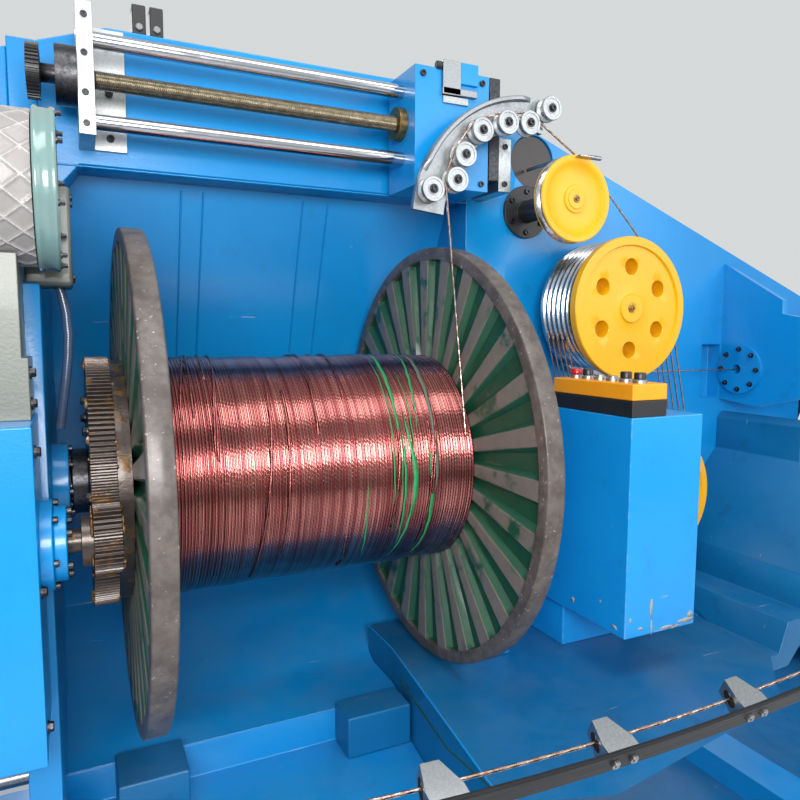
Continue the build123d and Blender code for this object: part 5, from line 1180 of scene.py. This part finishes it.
for x, z in ((-0.806, 2.228), (-0.804, 2.480), (-0.806, 2.392), (-0.806, 2.300)):
    bolts += socket_bolt((x, -0.0755, z), (0, -1, 0), 0.008, 0.004)
for x, z in ((-0.745, 2.235), (-0.745, 2.470), (-0.745, 2.350)):
    bolts += socket_bolt((x, 0.0785, z), (0, -1, 0), 0.010, 0.009)
for x, z in ((0.402, 2.195), (0.402, 2.310)):
    bolts += socket_bolt((x, -0.0755, z), (0, -1, 0), 0.009, 0.005)
for y, z in ((-0.52, 1.50), (-0.12, 1.50), (-0.52, 0.96), (-0.12, 0.96), (-0.52, 1.23)):
    bolts += hex_bolt((-0.930, y, z), (1, 0, 0), 0.017, 0.011)
for y in (-0.450, -0.250):
    for z in (1.585, 1.645):
        bolts += hex_bolt((-0.935, y, z), (1, 0, 0), 0.017, 0.011)
for y in (-0.220, -0.127):
    for z in (1.846, 2.022):
        bolts += socket_bolt((-0.851, y, z), (1, 0, 0), 0.007, 0.005)
add_piece("machine_bolts", {dark_steel: bolts}, "root", sharp=30)
carriage_bolts = [part for x in (0.085, 0.285) for z in (2.175, 2.470)
                  for part in socket_bolt((x, -0.121, z), (0, -1, 0), 0.009, 0.007)]
add_piece("carriage_bolts", {dark_steel: carriage_bolts}, "carriage", sharp=30)
reel_bolts = ring_of_bolts((-0.872, REEL_Y, REEL_Z), (-1, 0, 0), 0.060, 6, 0.016)
reel_bolts += ring_of_bolts((-0.834, REEL_Y, REEL_Z), (-1, 0, 0), 0.200, 8, 0.019)
add_piece("gear_bolts", {dark_steel: reel_bolts}, "reel", sharp=30)
BOW_END_X, BOW_END_REACH, BOW_END_SLOPE = 2.298, 0.9085, 0.374
LEAN_X, LEAN_OUT = 0.35, 0.937
arm_bolts = []
for side in (-1, 1):
    for end in (-1, 1):
        for x in (2.326, 2.378):
            seat = at_bow(side * x, BOW_END_REACH - BOW_END_SLOPE * (x - BOW_END_X), 0.0, end)
            arm_bolts += hex_bolt(seat, (LEAN_X * side, *(LEAN_OUT * end * OUTWARD)[1:]), 0.019)
add_piece("arm_bolts", {dark_steel: arm_bolts}, "rotor", sharp=30)
print("bolt parts:", len(bolts) + len(reel_bolts) + len(carriage_bolts) + len(arm_bolts))

# %% Sensor on the carriage: a cast angle, a blue box and two black connectors
add_piece("sensor_angle", {cast_aluminium: [block((0.146, -0.133, 2.420), (0.206, -0.121, 2.516)),
                                            block((0.146, -0.133, 2.420), (0.262, -0.121, 2.440))]},
          "carriage", edge=0.002)
add_piece("sensor_box", {blue_paint: [block((0.2065, -0.131, 2.455), (0.266, -0.075, 2.516))],
                         black_paint: [drum(0.013, 0.012, (0.266, -0.103, 2.488), (1, 0, 0)),
                                       drum(0.012, 0.018, (0.146, -0.120, 2.500), (-1, 0, 0))]},
          "carriage", ["carriage_sensor"], edge=0.003)
add_piece("carriage_bar", {machined_aluminium: [block((0.150, -0.127, 2.396), (0.235, -0.1205, 2.417))]},
          "carriage", edge=0.0015)

# %% Switch rollers, strand guard and a dark disc of painted shadow in the side recess
switch_rollers = []
for x in (-0.6625, -0.6175):
    switch_rollers += [drum(0.006, 0.014, (x, 0.120, 2.560), (0, -1, 0)),
                       drum(0.010, 0.006, (x, 0.094, 2.540), (0, -1, 0))]
add_piece("switch_rollers", {turned_steel: switch_rollers}, "root", sharp=40)
guard_arm = [(0.604, 0.090, 2.292), (0.604, -0.050, 2.290), (0.604, -0.150, 2.288)]
add_piece("strand_guard", {turned_steel: [laid_strand(guard_arm, (0, 0, 1), 0.006, lobes=1, around=10, depth=0),
                                          block((0.588, -0.215, 2.272), (0.640, -0.150, 2.277)),
                                          drum(0.007, 0.055, (0.640, -0.185, 2.281), (1, 0, 0))]},
          "root", edge=0.001)
# Painted shadow: a dark brown disc lies at the bottom of the round recess in the side plate.
recess_shadow_paint = painted("painted recess shadow", (0.045, 0.026, 0.022), (0.012, 0.012, 0.018), 0.35, coat=0.1, dust=0.1)
add_piece("recess_shadow_disc", {recess_shadow_paint: [drum(0.0888, 0.004, (0.629, 0.1016, 2.325), (0, -1, 0))]}, "root",
          sharp=40)

# %% Dark line of painted shade along a deck seam, and chips on the cabinet
# Painted shade: a dark green strand on the deck stands for the shade in a seam gap.
seam_shadow_finish = speckled("painted shade in a deck seam", (0.004, 0.035, 0.05), (0.012, 0.07, 0.08), (50.0,), (35.0,),
                      (0.3, 0.7, 0.4, 0.7), specular=0.3)
seam_shade_strand = laid_strand([(-0.022, -0.200, 0.704), (-0.045, -0.400, 0.704), (-0.062, -0.560, 0.704),
                    (-0.040, -0.790, 0.704)], (0, 0, 1), 0.0028, lobes=1, around=10, depth=0)
add_piece("deck_seam_shade", {seam_shadow_finish: [seam_shade_strand]}, "root", sharp=180)
chip_tone = speckled("bare filler", (0.44, 0.46, 0.45), (0.20, 0.24, 0.26), (90.0,), (60.0,),
                     (0.3, 0.7, 0.5, 0.8), (200.0,), specular=0.3)


def chip(centre, first, second, width, height, seed):
    """Flake of lost paint: an oval whose radius is shaken, lying 0.4 mm proud on a wall spanned by first and second."""
    angles = np.linspace(0, 2 * pi, 26, endpoint=False)
    reach = 1 + 0.5 * wandering(1, angles[None], 7, 0.45, seed)[0]
    first, second = np.array(first, dtype=float), np.array(second, dtype=float)
    outline = np.array(centre) + np.outer(width * reach * np.cos(angles),
                                          first) + np.outer(height * reach * np.sin(angles), second)
    return slab(outline, 0.0004 * np.cross(first, second))


front_chips = [((0.640, -0.520, 0.925), 0.006, 0.030), ((0.643, -0.520, 0.868), 0.004, 0.022),
               ((0.705, -0.520, 0.856), 0.030, 0.005),
               ((0.770, -0.520, 0.862), 0.026, 0.009), ((0.800, -0.520, 0.880), 0.012, 0.010),
               ((0.600, -0.520, 0.870), 0.010, 0.005),
               ((0.735, -0.520, 0.852), 0.016, 0.005), ((0.560, -0.520, 0.900), 0.004, 0.008)]
left_chips = [((0.540, -0.292, 0.885), 0.009, 0.008), ((0.540, -0.415, 0.925), 0.005, 0.004),
              ((0.540, -0.480, 0.868), 0.012, 0.006)]
chips = [chip(spot, (1, 0, 0), (0, 0, 1), width, height, seed) for seed,
         (spot, width, height) in enumerate(front_chips)]
chips += [chip(spot, (0, 1, 0), (0, 0, -1), width, height, seed + 20) for seed,
          (spot, width, height) in enumerate(left_chips)]
add_piece("paint_chips", {chip_tone: chips}, "root", sharp=180)
print("chips:", len(chips))

# %% [markdown]
# ## Hose, drip tray and grease
# A short, stiff cable hose, 0.39 m long, leads from the underside of the terminal box down along
# the bulkhead. Under the swinging bows lies a blue sheet tray that catches oil. Lumps of grease
# hang on the gear's edge where the pinion throws it.

# %% Hose: a smoothed path with faint ribs, and a nut inside the terminal box
hose_grey = speckled("grey hose", (0.045, 0.075, 0.15), (0.09, 0.13, 0.22), (80.0,), (40.0,),
                     (0.3, 0.7, 0.12, 0.22), specular=0.6, coat=0.6)
hose_line = np.array(((-0.897, -0.180, 1.866), (-0.886, -0.180, 1.845), (-0.876, -0.180, 1.815),
                      (-0.867, -0.180, 1.77), (-0.864, -0.180, 1.72),
                      (-0.868, -0.180, 1.66), (-0.875, -0.180, 1.616), (-0.884, -0.178, 1.55),
                      (-0.895, -0.170, 1.480)))
fine = np.linspace(0, 8, 60)
smoothed = [np.convolve(np.pad(hose_line[:, axis], 1, "edge"), (0.25, 0.5, 0.25), "valid") for axis in range(3)]
hose_path = np.stack([np.interp(fine, np.arange(9), line) for line in smoothed], axis=1)
hose_points, hose_faces, hose_uv = laid_strand(hose_path, (0, 1, 0), 0.0105, lobes=1, around=16, step=0.0015,
                                               depth=0)
middle = hose_points[:, :-1].mean(1, keepdims=True)
ribs = 0.985 + 0.015 * np.sin(np.arange(len(hose_points)) * pi / 2)[:, None, None]
add_piece("motor_hose", {hose_grey: [(middle + (hose_points - middle) * ribs, hose_faces, hose_uv)],
                         dark_steel: hex_bolt((-0.900, -0.180, 1.880), (0.35, 0, -1), 0.030, 0.022)}, "root",
          sharp=180)

# %% Drip tray between the base rails
tray_outline = np.array(((-2.86, -0.535), (2.86, -0.535), (2.86, 0.535), (-2.86, 0.535)))
lip = 0.012
tray_levels = (((0, 0), 0.004), ((0.996, 0.98), 0.004), ((0.998, 0.99), lip), ((1, 1), lip), ((1, 1), 0.001),
               ((0, 0), 0.001))
tray_rows = [np.column_stack([tray_outline * scale, np.full(4, z)]) for scale, z in tray_levels]
add_piece("drip_tray", {shade_darkened_blue: [(np.stack(tray_rows), grid_faces(6, 4, False, True))]}, "root",
          sharp=20)

# %% Grease on the gear's rim
grease_brown = speckled("thick grease", (0.20, 0.095, 0.022), (0.075, 0.038, 0.014), (60.0,), (45.0,),
                        (0.3, 0.7, 0.25, 0.5), (160.0,), 0.002, coat=0.5)


def grease_lump(centre, size, seed):
    """Flattened blob: a small grid ball whose radius is shaken by a few sines."""
    up, round_angle = np.linspace(-pi / 2, pi / 2, 8)[:, None], np.linspace(0, 2 * pi, 13)[None, :]
    shaken = 1 + 0.25 * np.sin(3 * round_angle + seed) * np.cos(up) + 0.2 * np.cos(2 * round_angle + 1.7
                                                                                   * seed) * np.cos(up)
    x, y, z = (size[0] * np.cos(up) * np.cos(round_angle) * shaken,
               size[1] * np.cos(up) * np.sin(round_angle) * shaken,
               size[2] * np.sin(up) * (1 + 0 * round_angle))
    return np.array(centre) + np.stack(np.broadcast_arrays(x, y, z), axis=-1), grid_faces(8, 13)


random = np.random.default_rng(7)
lumps = []
for seed, degrees in enumerate(random.uniform(-60, 110, 46)):
    reach = random.uniform(0.290, 0.303)
    spot = on_winding(random.choice((-0.836, -0.779, -0.781)), np.radians(degrees), reach)
    lumps.append(grease_lump(spot, random.uniform(0.003, 0.009, 3) * (0.6, 1.1, 1.2), seed))
add_piece("gear_grease", {grease_brown: lumps}, "reel", sharp=180)
pinion_lumps = [grease_lump((random.choice((-0.838, -0.780)), PINION_Y - 0.058 * np.cos(a),
                             PINION_Z + 0.058 * np.sin(a)),
                            random.uniform(0.004, 0.010, 3) * (0.6, 1, 1.2), a)
                for a in random.uniform(0, 2 * pi, 22)]
add_piece("pinion_grease", {grease_brown: pinion_lumps}, "pinion", sharp=180)
print("grease lumps:", len(lumps) + len(pinion_lumps))

# %% [markdown]
# ## Floor and end
# A pale floor lies under the machine, and any frame node that still shows is printed.

# %% Floor and finish
floor_mesh = quad_mesh("floor", [(-9, -9, 0), (9, -9, 0), (9, 9, 0), (-9, 9, 0)], [(0, 1, 2, 3)])
floor = bpy.data.objects.new("floor", floor_mesh)
bpy.context.scene.collection.objects.link(floor)
FLOOR_CLOUDS = (1.5, 3.0)
floor_mesh.materials.append(speckled("pale floor", (0.62, 0.63, 0.63), (0.68, 0.69, 0.69), FLOOR_CLOUDS,
                                     FLOOR_CLOUDS, (0.2, 0.8, 0.6, 0.75), specular=0.2))

for node, thing in nodes.items():
    if not thing.hide_render:
        print("plain node still showing:", node)
